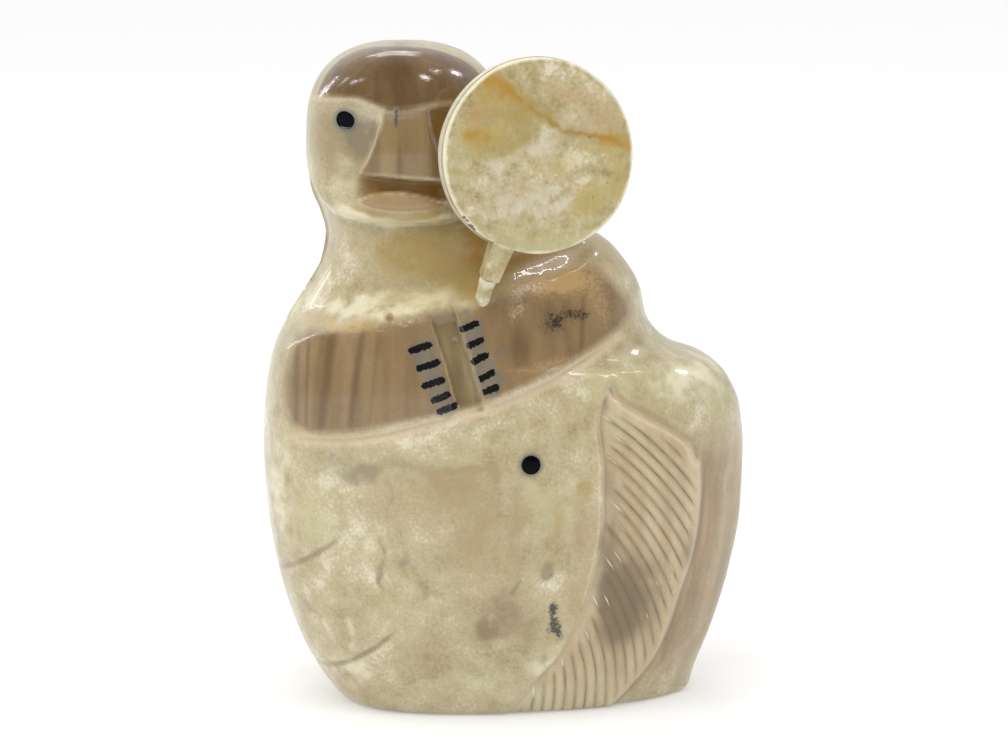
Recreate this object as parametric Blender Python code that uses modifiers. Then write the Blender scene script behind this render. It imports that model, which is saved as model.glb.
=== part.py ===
"""Walrus-ivory carving of a drummer: a hooded head on a rounded tusk body with a folded wing,
a paddle drum held up on a short peg, and three black eye inlays.

Metres, +Z up. The carving faces -Y and stands on its sawn flat base, whose middle is the origin.
The figure's pose and carving are written as eighty-sixths of its own height, so that one unit
is a millimetre on the real figure. Drilled holes, inlays, the drum and its peg have sizes of their own.
"""

import math

import bmesh
import bpy
import numpy as np
from mathutils import Matrix, Vector

# The figure
FIGURE_HEIGHT = 0.086
UNIT = FIGURE_HEIGHT / 86  # one unit of the tables below
BASE_EDGE_RADIUS = 0.0012  # softened edge round the sawn base
SAW_ALLOWANCE = 0.002  # what the block has below the base before it is sawn flat

# The paddle drum: a disc and its grip, cut from one slice of tusk
DRUM_DIAMETER = 0.0247
DRUM_THICKNESS = 0.0034
DRUM_LIP = 0.0004  # chamfer round both faces
DRUM_LINE_WIDTH = 0.0004  # fine line turned round the rim, behind the front lip
DRUM_LINE_DEPTH = 0.00018
DRUM_LAND = 0.0003  # plain rim between the front lip and the line
DRUM_TURN = math.radians(15)  # the face looks this far towards +X
DRUM_TILT = math.radians(3)  # and this far upwards
GRIP_ANGLE = math.radians(22.5)  # the grip leaves the disc this far from straight down, towards -X
GRIP_LENGTH = 0.0041  # from the rim to the grip's end
GRIP_WIDTH = 0.0022
GRIP_FLARE = 1.3  # width at the rim over the width at the end
GRIP_THICKNESS = 0.0024
GRIP_BEVEL = 0.0004
GRIP_OVERLAP = 0.003  # how far the grip runs into the disc

# The peg between the grip and the chest
PEG_DIAMETER = 0.0020
PEG_SEAT = 0.0022  # depth in its socket

# The black eye inlays
INLAY_DIAMETER = 0.0024
INLAY_DEPTH = 0.0028
INLAY_STAND = 0.0002  # how far the polished dome stands out of the ivory
INLAY_DOME = 0.0003

FIT = 0.00015  # gap round and behind a seated piece

# Mesh fineness
COLUMNS = 300
ROWS = 260
UNDERSIDE, CROWN = 0.02, 0.84  # the underside ends and the crown starts at these shares of the rows
FRONT_CROWDING = 0.42  # how much closer the columns stand on the front
CARVED_DEPTH = 7.0  # the carving fades out over this depth next to the outline
FIGURE_TRIANGLES = 6200
ROUND_STEPS = 48
PLUG_STEPS = 20
WELD = 0.00001  # points closer than this are one

# Outlines of the figure as (height, position), in units. X runs to the viewer's right.
LEFT_SIDE = [(0, -21.4), (3.2, -23.9), (8.6, -26.8), (16.7, -29.4), (24.8, -30.8), (32.8, -31.4),
             (39.5, -31.1), (44.8, -30.3), (50.1, -28.1), (54.0, -25.7), (57.9, -23.6), (61.5, -23.0),
             (64, -23.6), (67.1, -24.8), (72.3, -25.4), (76, -25.3), (86, -25.1)]
RIGHT_SIDE = [(0, 24.2), (3.2, 25.1), (8.6, 27.2), (16.7, 29.6), (24.8, 31.0), (32.8, 31.3),
              (38, 30.8), (42.1, 29.1), (44.8, 26.0), (46.1, 22.3), (48, 19.8), (50.1, 18.5),
              (54.0, 17.6), (57.9, 15.3), (60.6, 12.5), (61.9, 8.8), (63.2, 3.0), (64.7, -0.8),
              (67.5, -0.6), (73, -0.1), (86, -0.4)]
FRONT = [(0, -15.2), (4, -17.2), (10, -19.2), (20, -20.6), (32, -20.8), (42, -20.2), (50, -19.2),
         (58, -18.2), (66, -17.6), (76, -17.2), (86, -16.6)]
BACK = [(0, 13.5), (5, 16.4), (15, 19.0), (30, 20.0), (41, 18.8), (50, 15.8), (56, 12.6),
        (61, 10.6), (66, 10.8), (73, 11.8), (86, 11.6)]
RIDGE = [(0, -5), (20, -6), (35, -7), (50, -9), (60, -12.5), (68, -13.2), (86, -13.0)]
WAIST = [(0, 0), (45, 0), (60, -2.0), (86, -2.6)]  # depth at which each section is widest
LEFT_FULLNESS, RIGHT_FULLNESS, BACK_FULLNESS = 2.6, 2.05, 2.3  # superellipse powers of a section
CROWN_START, CROWN_TOP = 75.0, 86.0  # the rounded top of the head
CROWN_SIDE_POWER, CROWN_FRONT_POWER, CROWN_BACK_POWER = 2.45, 4.5, 2.1  # superellipse powers of its rise
CROWN_LEAN = 1.5  # the highest point is this far in front of the head's middle

# Head, in units: places as (x, z)
BROW = [(-26, 79.2), (-21.8, 79.9), (-18.6, 79.9), (-16.1, 79.1), (-13.9, 78.5), (-12.3, 78.6),
        (-8, 79.1), (0, 79.4)]
JAW = [(-25.5, 70.5), (-24.4, 68.0), (-22.6, 65.9), (-21.3, 64.9), (-16.8, 64.4), (-8, 64.4),
       (-3, 65.6), (-0.5, 68.5)]
NOSE_MIDDLE = -12.6
NOSE_HALF_WIDTH = [(69.4, 5.9), (71, 5.1), (76, 3.2), (80, 2.7)]
NOSE_FOOT_LEFT, NOSE_FOOT_SLOPE = 70.2, -0.09
NOSE_ROOT_STEP = 0.35  # the root lies this far behind the forehead
FACE_DEPTH = 2.1  # cheeks and sockets below the brow
MOUTH_EXTRA = 0.8  # the slot over the lower lip is this much deeper
LIP_TOP = [(-18.4, 66.9), (-16.5, 67.8), (-13.4, 68.1), (-10, 67.5), (-6.8, 66.3)]
LIP_FOOT = [(-18.4, 66.6), (-16, 65.9), (-12.6, 65.6), (-9, 65.8), (-6.8, 66.2)]
LIP_DROP = 0.5

# Chest band and neck
BAND_TOP = [(-30, 45.6), (-28, 47.2), (-20, 50.8), (-13, 52.5), (-8, 53.4), (-3, 54.4), (3.3, 56),
            (7.7, 57), (12.2, 58), (18, 59)]
BAND_FOOT = [(-30, 38.4), (-28.6, 37.7), (-25.9, 37.3), (-20.7, 37.5), (-15.6, 38.5), (-10.5, 40.3),
             (-5.5, 42.1), (-0.5, 43.8), (4.5, 45.8), (9.6, 47.6), (13.5, 49.2), (17, 51)]
BAND_STEP = 0.55
NECK_DEPTH = 4.6
NECK_RISE = 3.2  # height over which the chest rolls back into the neck
CHANNEL = [(-7.9, 55.0), (-6.6, 49.5), (-4.1, 42.2)]
CHANNEL_WIDTH, CHANNEL_DEPTH = 3.3, 0.9

# Belly, wing and flank
BELLY_EDGE = [(0, -0.2), (5.1, 3.8), (8.8, 7.0), (11, 8.3), (15.2, 10.6), (18, 11.4), (22.2, 12.4),
              (26.8, 12.9), (33, 12.9), (38.6, 12.3), (40.8, 12.6), (43.2, 13.8)]
WING_EDGE = [(0, 13.4), (3.2, 16.3), (6.2, 18.7), (10.9, 20.9), (15.7, 22.4), (19.7, 23.8),
             (24.2, 24.8), (29.2, 25.4), (32.7, 25.5), (34.8, 24.6)]
WING_SHOULDER = [(13.4, 43.4), (14.7, 41.2), (16.3, 39.8), (18.6, 38.4), (21.6, 36.7), (24.5, 34.7),
                 (25.5, 32.7)]
SHOULDER_STRETCHES = 24
WING_DEPTH, FLANK_DEPTH = 1.0, 1.9
WING_RIDGE, WING_RIDGE_WIDTH = 0.35, 1.6  # raised edge along the wing's shoulder
SHOULDER_GROOVE_DEPTH, SHOULDER_GROOVE_WIDTH = 0.7, 1.4
FEATHER_CENTRE = (-13.0, 3.5)  # the cuts between the feathers are arcs about this point
FEATHER_NEAR, FEATHER_FAR = (14.0, 1.05), (45.0, 2.0)  # (radius, spacing there)
FEATHER_CUT_RADIUS = 0.36  # of the four-sided gouge
FEATHER_START, FEATHER_END = 1.9, 0.5  # clear of the belly's edge and of the wing's edge
FEATHER_STEP = 1.5
CREASES = [[(-31.0, 17.4), (-28.6, 18.7), (-24.7, 21.3), (-21.2, 23.8)],
           [(-25.0, 5.6), (-22.6, 6.3), (-19.7, 7.7), (-16.4, 9.5), (-12.8, 12.8)]]
CREASE_DEPTH, CREASE_WIDTH = 0.5, 0.7

# Where the inlays and the peg sit, as (x, z) on the front; the grip's end is a point in space
FACE_EYES = {"eye_inlay_right": (-19.9, 76.9), "eye_inlay_left": (-5.3, 76.9)}
BELLY_EYE = ("belly_eye_inlay", (3.4, 33.9))
PEG_FOOT = (-2.6, 55.0)
GRIP_END = (-1.9, -19.0, 57.6)


def through(points, at):
    """A smooth curve through (t, value) points with no overshoot, read at the values in `at`."""
    t, value = np.array(points, float).T
    step = np.diff(t)
    rise = np.diff(value) / step
    slope = np.concatenate([rise[:1], np.zeros(len(t) - 2), rise[-1:]])
    before, after = rise[:-1], rise[1:]
    same = before * after > 0
    first, second = 2 * step[1:] + step[:-1], step[1:] + 2 * step[:-1]
    slope[1:-1][same] = (first + second)[same] / (first / np.where(same, before, 1) +
                                                  second / np.where(same, after, 1))[same]
    at = np.clip(at, t[0], t[-1])
    k = np.clip(np.searchsorted(t, at, side="right") - 1, 0, len(t) - 2)
    s = (at - t[k]) / step[k]
    return ((1 + 2 * s) * (1 - s) ** 2 * value[k] + s * (1 - s) ** 2 * step[k] * slope[k]
            + s * s * (3 - 2 * s) * value[k + 1] + s * s * (s - 1) * step[k] * slope[k + 1])


def ease(t):
    """0 below 0, 1 above 1, and a smooth step between."""
    t = np.clip(t, 0, 1)
    return t * t * (3 - 2 * t)


def distance_to(path, x, z):
    """Distance from each (x, z) to a path of straight stretches."""
    nearest = np.full(np.shape(x), np.inf)
    for (x0, z0), (x1, z1) in zip(path, path[1:]):
        along = np.array([x1 - x0, z1 - z0])
        share = np.clip(((x - x0) * along[0] + (z - z0) * along[1]) / (along @ along), 0, 1)
        nearest = np.minimum(nearest, np.hypot(x - x0 - share * along[0], z - z0 - share * along[1]))
    return nearest


def notch(distance, width):
    """1 on a carved line and 0 half its width away, V-shaped with softened shoulders."""
    share = np.clip(1 - 2 * distance / width, 0, 1)
    return share * (1.5 - 0.5 * share)


def face_cut(x, z):
    """Depth of the face's carving: brow, eye sockets, cheeks, nose, mouth slot and lower lip."""
    below_brow = through(BROW, x) - z
    off_middle = np.abs(x - NOSE_MIDDLE)
    nose_foot = NOSE_FOOT_LEFT + NOSE_FOOT_SLOPE * (x - NOSE_MIDDLE + 5.9)
    nose = (1 - ease((off_middle - through(NOSE_HALF_WIDTH, z)) / 0.8)) * ease((z - nose_foot) / 0.4)
    lip = ease((through(LIP_TOP, x) - z) / 0.45 + 0.5) * ease((z - through(LIP_FOOT, x)) / 0.8 + 0.3)
    lip = lip * (1 - ease((off_middle - 5.0) / 1.2))
    hollow = FACE_DEPTH * (1 - 0.75 * ease((off_middle - 6.5) / 6)) * (1 - 0.3 * ease((72 - z) / 6))
    hollow = hollow * (0.5 * ease(below_brow / 0.7) + 0.5 * ease(below_brow / 3.2))
    slot = (1 - ease((off_middle - 3.8) / 3.2)) * ease((nose_foot - z) / 0.35) * ease((z - 66.4) / 0.8)
    raised = np.maximum(nose, lip * (1 - LIP_DROP / FACE_DEPTH))
    face = hollow * (1 - raised) + MOUTH_EXTRA * slot * (1 - lip)
    root = NOSE_ROOT_STEP * nose * ease(below_brow / 0.8) * (1 - ease((77 - z) / 4))
    return (face + root) * ease((z - through(JAW, x)) / 0.5 + 0.5)


def neck_cut(x, z):
    """Depth of the hollow between the chest's top edge and the jaw."""
    above_chest = ease((z - through(BAND_TOP, x)) / NECK_RISE)
    below_jaw = 1 - ease((z - through(JAW, x)) / 0.8 + 0.9)
    neck = NECK_DEPTH * above_chest * below_jaw * (1 - ease((x - 6.5) / 6))
    jaw_level = 0.62 * FACE_DEPTH * above_chest * (1 - below_jaw) * ease((through(JAW, x) + 0.4 - z) / 0.4)
    return neck + jaw_level


def chest_cut(x, z):
    """Depth of the channel down the chest band."""
    reach = distance_to(CHANNEL, x, z) - CHANNEL_WIDTH / 2
    return CHANNEL_DEPTH * (1 - ease(reach / 0.45 + 0.5)) * ease((through(BAND_TOP, x) + 1.5 - z) / 2.5)


def wing_reach(x, z):
    """(how far past the belly's edge, how far below the shoulder line, how far inside the wing's outer edge)."""
    across = np.linspace(WING_SHOULDER[0][0], WING_SHOULDER[-1][0], SHOULDER_STRETCHES + 1)
    shoulder = list(zip(across, through(WING_SHOULDER, across)))
    below = np.where(through(WING_SHOULDER, x) > z, 1.0, -1.0)
    near = x > WING_SHOULDER[0][0] - 3
    below[near] *= distance_to(shoulder, x[near], z[near])
    below[~near] *= 3
    return x - through(BELLY_EDGE, z), below, through(WING_EDGE, z) - x


def belly_and_wing_cut(x, z):
    """Depth of the belly, the wing and the flank, each a step behind the one before it."""
    past_belly, below_shoulder, in_edge = wing_reach(x, z)
    behind_belly = ease(past_belly / 0.5)
    behind_wing = ease(0.15 - in_edge / 0.8) * behind_belly
    on_wing = behind_belly * (1 - behind_wing) * ease(below_shoulder / 0.5 + 0.3)
    on_flank = behind_wing * ease((38 - z) / 10)
    below_band = ease((through(BAND_FOOT, x) - z) / 0.7) * ease((x + 30) / 6) * (1 - ease((x - 9) / 6))
    cut = BAND_STEP * below_band * (1 - on_wing) * (1 - on_flank) + WING_DEPTH * on_wing + FLANK_DEPTH * on_flank
    ridge = np.clip(1 - np.abs(below_shoulder - 0.7) / WING_RIDGE_WIDTH, 0, 1)
    groove = notch(np.abs(below_shoulder), 2 * SHOULDER_GROOVE_WIDTH)
    groove = groove * ease((x - 13.2) / 1.6) * (1 - ease((x - 23.5) / 2.5))
    return cut - WING_RIDGE * ease(ridge) * on_wing + SHOULDER_GROOVE_DEPTH * groove * (1 - on_wing)


def feather_radii():
    """Radii of the feather cuts: their spacing grows evenly with the radius."""
    (near, spacing), (far, far_spacing) = FEATHER_NEAR, FEATHER_FAR
    growth = 1 + (far_spacing - spacing) / (far - near)
    radii = [near]
    while radii[-1] + spacing <= far:
        radii.append(radii[-1] + spacing)
        spacing *= growth
    return radii


def feather_paths():
    """Points of each feather cut on the wing, as (x, y, z)."""
    paths = []
    for radius in feather_radii():
        angles = np.arange(math.radians(80), math.radians(-10), -FEATHER_STEP / radius)
        x = FEATHER_CENTRE[0] + radius * np.cos(angles)
        z = FEATHER_CENTRE[1] + radius * np.sin(angles)
        past_belly, below_shoulder, in_edge = wing_reach(x, z)
        on_wing = (past_belly > FEATHER_START) & (below_shoulder > 1.5) & (in_edge > FEATHER_END) & (z > -0.5)
        path = [(a, front_depth(a, b), b) for a, b in zip(x[on_wing], z[on_wing])]
        if len(path) > 2:
            paths.append(path)
    return paths


def crease_cut(x, z):
    """Depth of the two creases at the lower left, each fading out at its inner end."""
    cut = np.zeros(np.shape(x))
    for crease in CREASES:
        fade = 1 - ease((x - crease[-2][0]) / (crease[-1][0] - crease[-2][0]))
        cut = np.maximum(cut, CREASE_DEPTH * notch(distance_to(crease, x, z), 2 * CREASE_WIDTH) * fade)
    return cut


def carving(x, z):
    """How far the carver went in from the tusk's outer surface at (x, z) on the front, in units."""
    return face_cut(x, z) + neck_cut(x, z) + chest_cut(x, z) + belly_and_wing_cut(x, z) + crease_cut(x, z)


def section(angle, z, side_share, front_share, back_share):
    """The uncarved section at height z: four quarters of a superellipse that meet at the ridge and the waist.
    The shares are what the crown or the underside leaves of its half widths and depths."""
    x_mid, y_mid = through(RIDGE, z), through(WAIST, z)
    cos, sin = np.cos(angle), np.sin(angle)
    half_width = np.where(cos > 0, through(RIGHT_SIDE, z) - x_mid, x_mid - through(LEFT_SIDE, z))
    half_depth = np.where(sin > 0, through(BACK, z) - y_mid, y_mid - through(FRONT, z))
    power = np.where(sin > 0, BACK_FULLNESS, np.where(cos > 0, RIGHT_FULLNESS, LEFT_FULLNESS))
    edge = BASE_EDGE_RADIUS / UNIT
    inset = edge - np.sqrt(np.clip(edge ** 2 - np.clip(edge - z, 0, edge) ** 2, 0, None))
    half_width = np.maximum((half_width - inset) * side_share, 1e-6)
    half_depth = np.maximum((half_depth - inset) * np.where(sin > 0, back_share, front_share), 1e-6)
    reach = (np.abs(cos / half_width) ** power + np.abs(sin / half_depth) ** power) ** (-1 / power)
    return x_mid + reach * cos, y_mid + reach * sin


def figure_points(around, up):
    """Maps places on the figure's skin, both from 0 to 1, to the carved figure, in units. `around` runs from the
    back, past the viewer's left, round to the back again, and `up` from the middle of the underside to the top."""
    bottom = -SAW_ALLOWANCE / UNIT
    side = bottom + (CROWN_START - bottom) * np.clip((up - UNDERSIDE) / (CROWN - UNDERSIDE), 0, 1)
    turn = np.clip((up - CROWN) / (1 - CROWN), 0, 1) * math.pi / 2
    rise = np.sin(turn) ** (2 / CROWN_SIDE_POWER)
    z = side + (CROWN_TOP - CROWN_START) * rise
    under = np.clip(up / UNDERSIDE, 0, 1)
    side_share, front_share, back_share = (
        under * np.clip(1 - rise ** power, 0, 1) ** (1 / power)
        for power in (CROWN_SIDE_POWER, CROWN_FRONT_POWER, CROWN_BACK_POWER))
    angle = math.tau * (around - 0.75)
    angle = angle - FRONT_CROWDING * np.cos(angle)
    x, y = section(angle, z, side_share, front_share, back_share)
    front = ease((through(WAIST, z) - y) / CARVED_DEPTH) * ease((CROWN_TOP - 0.5 - z) / 3)
    y = y - CROWN_LEAN * rise ** 3 * (1 - front_share)
    carved = front > 0
    y[carved] += front[carved] * carving(x[carved], z[carved])
    return x, y, z


def front_depth(x, z):
    """Depth of the carved front at one place, in units."""
    x_mid, y_mid = through(RIDGE, z), through(WAIST, z)
    right = x > x_mid
    half_width = (through(RIGHT_SIDE, z) - x_mid) if right else (x_mid - through(LEFT_SIDE, z))
    power = RIGHT_FULLNESS if right else LEFT_FULLNESS
    share = (1 - (abs(x - x_mid) / half_width) ** power) ** (1 / power)
    y = y_mid - (y_mid - through(FRONT, z)) * share
    return float(y + carving(np.array([float(x)]), np.array([float(z)]))[0])


def clear_scene():
    for obj in list(bpy.data.objects):
        bpy.data.objects.remove(obj, do_unlink=True)


def collection(name):
    made = bpy.data.collections.new(name)
    bpy.context.scene.collection.children.link(made)
    return made


def material(name, colour, roughness):
    made = bpy.data.materials.new(name)
    made.use_nodes = True
    shader = made.node_tree.nodes["Principled BSDF"]
    shader.inputs["Base Color"].default_value = (*colour, 1)
    shader.inputs["Roughness"].default_value = roughness
    shader.inputs["Metallic"].default_value = 0
    return made


def new_object(name, mesh, home, finish=None):
    obj = bpy.data.objects.new(name, mesh)
    home.objects.link(obj)
    if finish:
        mesh.materials.append(finish)
    else:
        obj.hide_render = True
        obj.display_type = "WIRE"
    return obj


def mesh_from(bm, name):
    mesh = bpy.data.meshes.new(name)
    bm.to_mesh(mesh)
    bm.free()
    return mesh


def cylinder_mesh(name, radius, length, steps):
    """A capped cylinder from z = 0 down to z = -length."""
    bm = bmesh.new()
    bmesh.ops.create_cone(bm, cap_ends=True, segments=steps, radius1=radius, radius2=radius, depth=length,
                          matrix=Matrix.Translation((0, 0, -length / 2)))
    return mesh_from(bm, name)


def facing(direction):
    """Rotation that turns +Z to the direction."""
    return Vector(direction).normalized().to_track_quat("Z", "Y").to_matrix().to_4x4()


def boolean(obj, other, operation):
    modifier = obj.modifiers.new(f"{operation.lower()} {other.name}", "BOOLEAN")
    modifier.operation = operation
    modifier.object = other


def feather_gouge(cutters):
    """The gouge that cuts the lines between the feathers: four-sided tubes along their paths, as one mesh."""
    curve = bpy.data.curves.new("feather_gouge", "CURVE")
    curve.dimensions = "3D"
    curve.bevel_depth = FEATHER_CUT_RADIUS * UNIT
    curve.bevel_resolution = 0
    curve.use_fill_caps = True
    for path in feather_paths():
        spline = curve.splines.new("POLY")
        spline.points.add(len(path) - 1)
        for point, place in zip(spline.points, path):
            point.co = (*(Vector(place) * UNIT), 1)
    tube = bpy.data.objects.new("feather_gouge", curve)
    cutters.objects.link(tube)
    bpy.context.view_layer.update()
    mesh = bpy.data.meshes.new_from_object(tube.evaluated_get(bpy.context.evaluated_depsgraph_get()))
    bpy.data.objects.remove(tube)
    bm = bmesh.new()
    bm.from_mesh(mesh)
    bmesh.ops.remove_doubles(bm, verts=bm.verts, dist=WELD)
    bm.to_mesh(mesh)
    bm.free()
    return new_object("feather_gouge", mesh, cutters)


def figure(home, cutters, ivory):
    """A grid wrapped into the carved tusk, faceted, and sawn flat at the base."""
    bm = bmesh.new()
    bmesh.ops.create_grid(bm, x_segments=COLUMNS, y_segments=ROWS, size=0.5)
    mesh = mesh_from(bm, "figure")
    flat = np.empty(len(mesh.vertices) * 3, np.float32)
    mesh.vertices.foreach_get("co", flat)
    around, up = np.clip(flat.reshape(-1, 3)[:, :2].astype(float).T + 0.5, 0, 1)
    x, y, z = figure_points(around, up)
    mesh.vertices.foreach_set("co", (np.column_stack([x, y, z]) * UNIT).astype(np.float32).ravel())
    bm = bmesh.new()
    bm.from_mesh(mesh)
    bmesh.ops.remove_doubles(bm, verts=bm.verts, dist=WELD)
    bmesh.ops.recalc_face_normals(bm, faces=bm.faces)
    bm.to_mesh(mesh)
    bm.free()
    body = new_object("figure", mesh, home, ivory)
    facets = body.modifiers.new("facets", "DECIMATE")
    facets.ratio = FIGURE_TRIANGLES / (2 * COLUMNS * ROWS)
    bm = bmesh.new()
    bmesh.ops.create_cube(bm, size=1, matrix=Matrix.Translation((0, 0, -FIGURE_HEIGHT / 2))
                          @ Matrix.Diagonal((2 * FIGURE_HEIGHT, 2 * FIGURE_HEIGHT, FIGURE_HEIGHT, 1)))
    boolean(body, new_object("base_saw", mesh_from(bm, "base_saw"), cutters), "DIFFERENCE")
    boolean(body, feather_gouge(cutters), "DIFFERENCE")
    return body


def front_place(x, z):
    """(point, outward direction) on the front at (x, z), in metres, the direction taken over the inlay's width."""
    span = 0.5 * INLAY_DIAMETER / UNIT
    y = front_depth(x, z)
    slope_x = (front_depth(x + span, z) - front_depth(x - span, z)) / (2 * span)
    slope_z = (front_depth(x, z + span) - front_depth(x, z - span)) / (2 * span)
    return Vector((x, y, z)) * UNIT, Vector((slope_x, -1, slope_z)).normalized()


def inlay(name, place, body, home, cutters, black):
    """A black plug with a domed face in a drilled hole."""
    point, outward = front_place(*place)
    stand = Matrix.Translation(point) @ facing(outward)
    plug_length = INLAY_DEPTH + INLAY_STAND
    plug = new_object(name, cylinder_mesh(name, INLAY_DIAMETER / 2, plug_length, PLUG_STEPS), home, black)
    plug.matrix_world = stand @ Matrix.Translation((0, 0, INLAY_STAND))
    dome = plug.modifiers.new("dome", "BEVEL")
    dome.width = INLAY_DOME
    dome.segments = 2
    hole_top = 2 * INLAY_DEPTH
    hole_length = hole_top + INLAY_DEPTH + FIT
    drill = new_object(f"{name}_drill", cylinder_mesh(f"{name}_drill", INLAY_DIAMETER / 2 + FIT, hole_length,
                                                      PLUG_STEPS), cutters)
    drill.matrix_world = stand @ Matrix.Translation((0, 0, hole_top))
    boolean(body, drill, "DIFFERENCE")


def drum_frame():
    """The drum's own axes: X right, Y up across its face, Z out of it, with the origin at the disc's middle."""
    out = Vector((math.sin(DRUM_TURN) * math.cos(DRUM_TILT), -math.cos(DRUM_TURN) * math.cos(DRUM_TILT),
                  math.sin(DRUM_TILT)))
    right = Vector((math.cos(DRUM_TURN), math.sin(DRUM_TURN), 0))
    up = out.cross(right)
    axes = Matrix((right, up, out)).transposed().to_4x4()
    grip = right * -math.sin(GRIP_ANGLE) + up * -math.cos(GRIP_ANGLE)
    middle = Vector(GRIP_END) * UNIT - grip * (DRUM_DIAMETER / 2 + GRIP_LENGTH)
    return Matrix.Translation(middle) @ axes


def peg_line():
    """(foot on the chest, end of the grip) of the peg's axis."""
    foot = Vector((PEG_FOOT[0], front_depth(*PEG_FOOT), PEG_FOOT[1])) * UNIT
    return foot, Vector(GRIP_END) * UNIT


def mitre(name, direction, cutters):
    """A box that takes off what lies past the joint of grip and peg, in the direction given."""
    size = 4 * PEG_DIAMETER
    bm = bmesh.new()
    bmesh.ops.create_cube(bm, size=size, matrix=Matrix.Translation((0, 0, size / 2 - FIT / 2)))
    box = new_object(name, mesh_from(bm, name), cutters)
    box.matrix_world = Matrix.Translation(Vector(GRIP_END) * UNIT) @ facing(direction)
    return box


def disc_profile():
    """Half outline of the disc, from the front's middle round the rim to the back's middle."""
    radius, front, lip = DRUM_DIAMETER / 2, DRUM_THICKNESS / 2, DRUM_LIP
    line_top = front - lip - DRUM_LAND
    return [(0, front), (radius - lip, front), (radius, front - lip), (radius, line_top),
            (radius - DRUM_LINE_DEPTH, line_top - DRUM_LINE_WIDTH / 2), (radius, line_top - DRUM_LINE_WIDTH),
            (radius, -front + lip), (radius - lip, -front), (0, -front)]


def drum(home, cutters, ivory):
    """The turned disc with its grip, mitred where the peg meets it."""
    mesh = bpy.data.meshes.new("drum")
    points = disc_profile()
    mesh.from_pydata([(r, 0, z) for r, z in points], [(i, i + 1) for i in range(len(points) - 1)], [])
    disc = new_object("drum", mesh, home, ivory)
    turned = disc.modifiers.new("turned", "SCREW")
    turned.steps = turned.render_steps = ROUND_STEPS
    turned.use_merge_vertices = True
    turned.merge_threshold = WELD
    frame = drum_frame()
    disc.matrix_world = frame

    start = DRUM_DIAMETER / 2 - GRIP_OVERLAP
    end = DRUM_DIAMETER / 2 + GRIP_LENGTH + PEG_DIAMETER
    bm = bmesh.new()
    bmesh.ops.create_cube(bm, size=1)
    for corner in bm.verts:
        at_disc = corner.co.y > 0
        width = GRIP_WIDTH * (GRIP_FLARE if at_disc else 1)
        corner.co = Vector((corner.co.x * width, -(start if at_disc else end), corner.co.z * GRIP_THICKNESS))
    bmesh.ops.bevel(bm, geom=list(bm.edges), offset=GRIP_BEVEL, segments=2, affect="EDGES", profile=0.5)
    grip = new_object("drum_grip", mesh_from(bm, "drum_grip"), cutters)
    grip.matrix_world = frame @ Matrix.Rotation(-GRIP_ANGLE, 4, "Z")
    boolean(grip, mitre("grip_mitre", -joint_direction(), cutters), "DIFFERENCE")
    boolean(disc, grip, "UNION")
    return disc


def joint_direction():
    """Normal of the joint between grip and peg, upwards: it halves the bend between them."""
    foot, grip_end = peg_line()
    grip_down = drum_frame().to_3x3() @ Vector((-math.sin(GRIP_ANGLE), -math.cos(GRIP_ANGLE), 0))
    return ((grip_end - foot).normalized() - grip_down).normalized()


def peg(body, home, cutters, ivory):
    """The peg that carries the drum, from its drilled socket in the chest to the grip's mitred end."""
    foot, grip_end = peg_line()
    along = (grip_end - foot).normalized()
    length = (grip_end - foot).length + PEG_DIAMETER + PEG_SEAT
    rod = new_object("drum_peg", cylinder_mesh("drum_peg", PEG_DIAMETER / 2, length, PLUG_STEPS), home, ivory)
    rod.matrix_world = Matrix.Translation(grip_end + along * PEG_DIAMETER) @ facing(along)
    boolean(rod, mitre("peg_mitre", joint_direction(), cutters), "DIFFERENCE")
    depth = PEG_SEAT + FIT
    above = PEG_DIAMETER
    drill = new_object("peg_drill", cylinder_mesh("peg_drill", PEG_DIAMETER / 2 + FIT, depth + above,
                                                  PLUG_STEPS), cutters)
    drill.matrix_world = Matrix.Translation(foot + along * above) @ facing(along)
    boolean(body, drill, "DIFFERENCE")


def main():
    clear_scene()
    home = collection("ivory drummer carving")
    cutters = collection("cutters")
    tusk = material("polished tusk", (0.60, 0.50, 0.35), 0.3)
    core = material("marbled tusk core", (0.72, 0.66, 0.48), 0.35)
    black = material("black inlay", (0.008, 0.008, 0.012), 0.25)
    body = figure(home, cutters, tusk)
    peg(body, home, cutters, core)
    for name, place in [*FACE_EYES.items(), BELLY_EYE]:
        inlay(name, place, body, home, cutters, black)
    drum(home, cutters, core)


main()
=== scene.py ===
import math
from functools import partial

import bpy
import numpy as np
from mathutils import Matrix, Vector


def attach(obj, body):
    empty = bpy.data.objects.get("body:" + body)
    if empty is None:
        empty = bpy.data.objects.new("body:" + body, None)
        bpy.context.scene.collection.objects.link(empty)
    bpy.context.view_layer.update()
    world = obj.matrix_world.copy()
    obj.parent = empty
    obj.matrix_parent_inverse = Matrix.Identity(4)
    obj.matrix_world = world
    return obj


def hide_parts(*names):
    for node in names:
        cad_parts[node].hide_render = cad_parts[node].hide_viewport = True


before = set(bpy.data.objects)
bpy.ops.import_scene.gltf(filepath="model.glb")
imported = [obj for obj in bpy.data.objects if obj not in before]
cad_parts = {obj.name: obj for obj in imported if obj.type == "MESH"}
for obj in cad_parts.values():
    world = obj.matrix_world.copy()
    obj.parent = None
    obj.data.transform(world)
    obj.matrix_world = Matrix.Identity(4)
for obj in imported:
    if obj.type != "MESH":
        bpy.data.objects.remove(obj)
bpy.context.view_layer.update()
print("frame loaded:", sorted(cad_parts))

# Every length below is in millimetres. X runs to the viewer's right, the carving faces -Y, Z is up.
mm = 0.001

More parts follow.
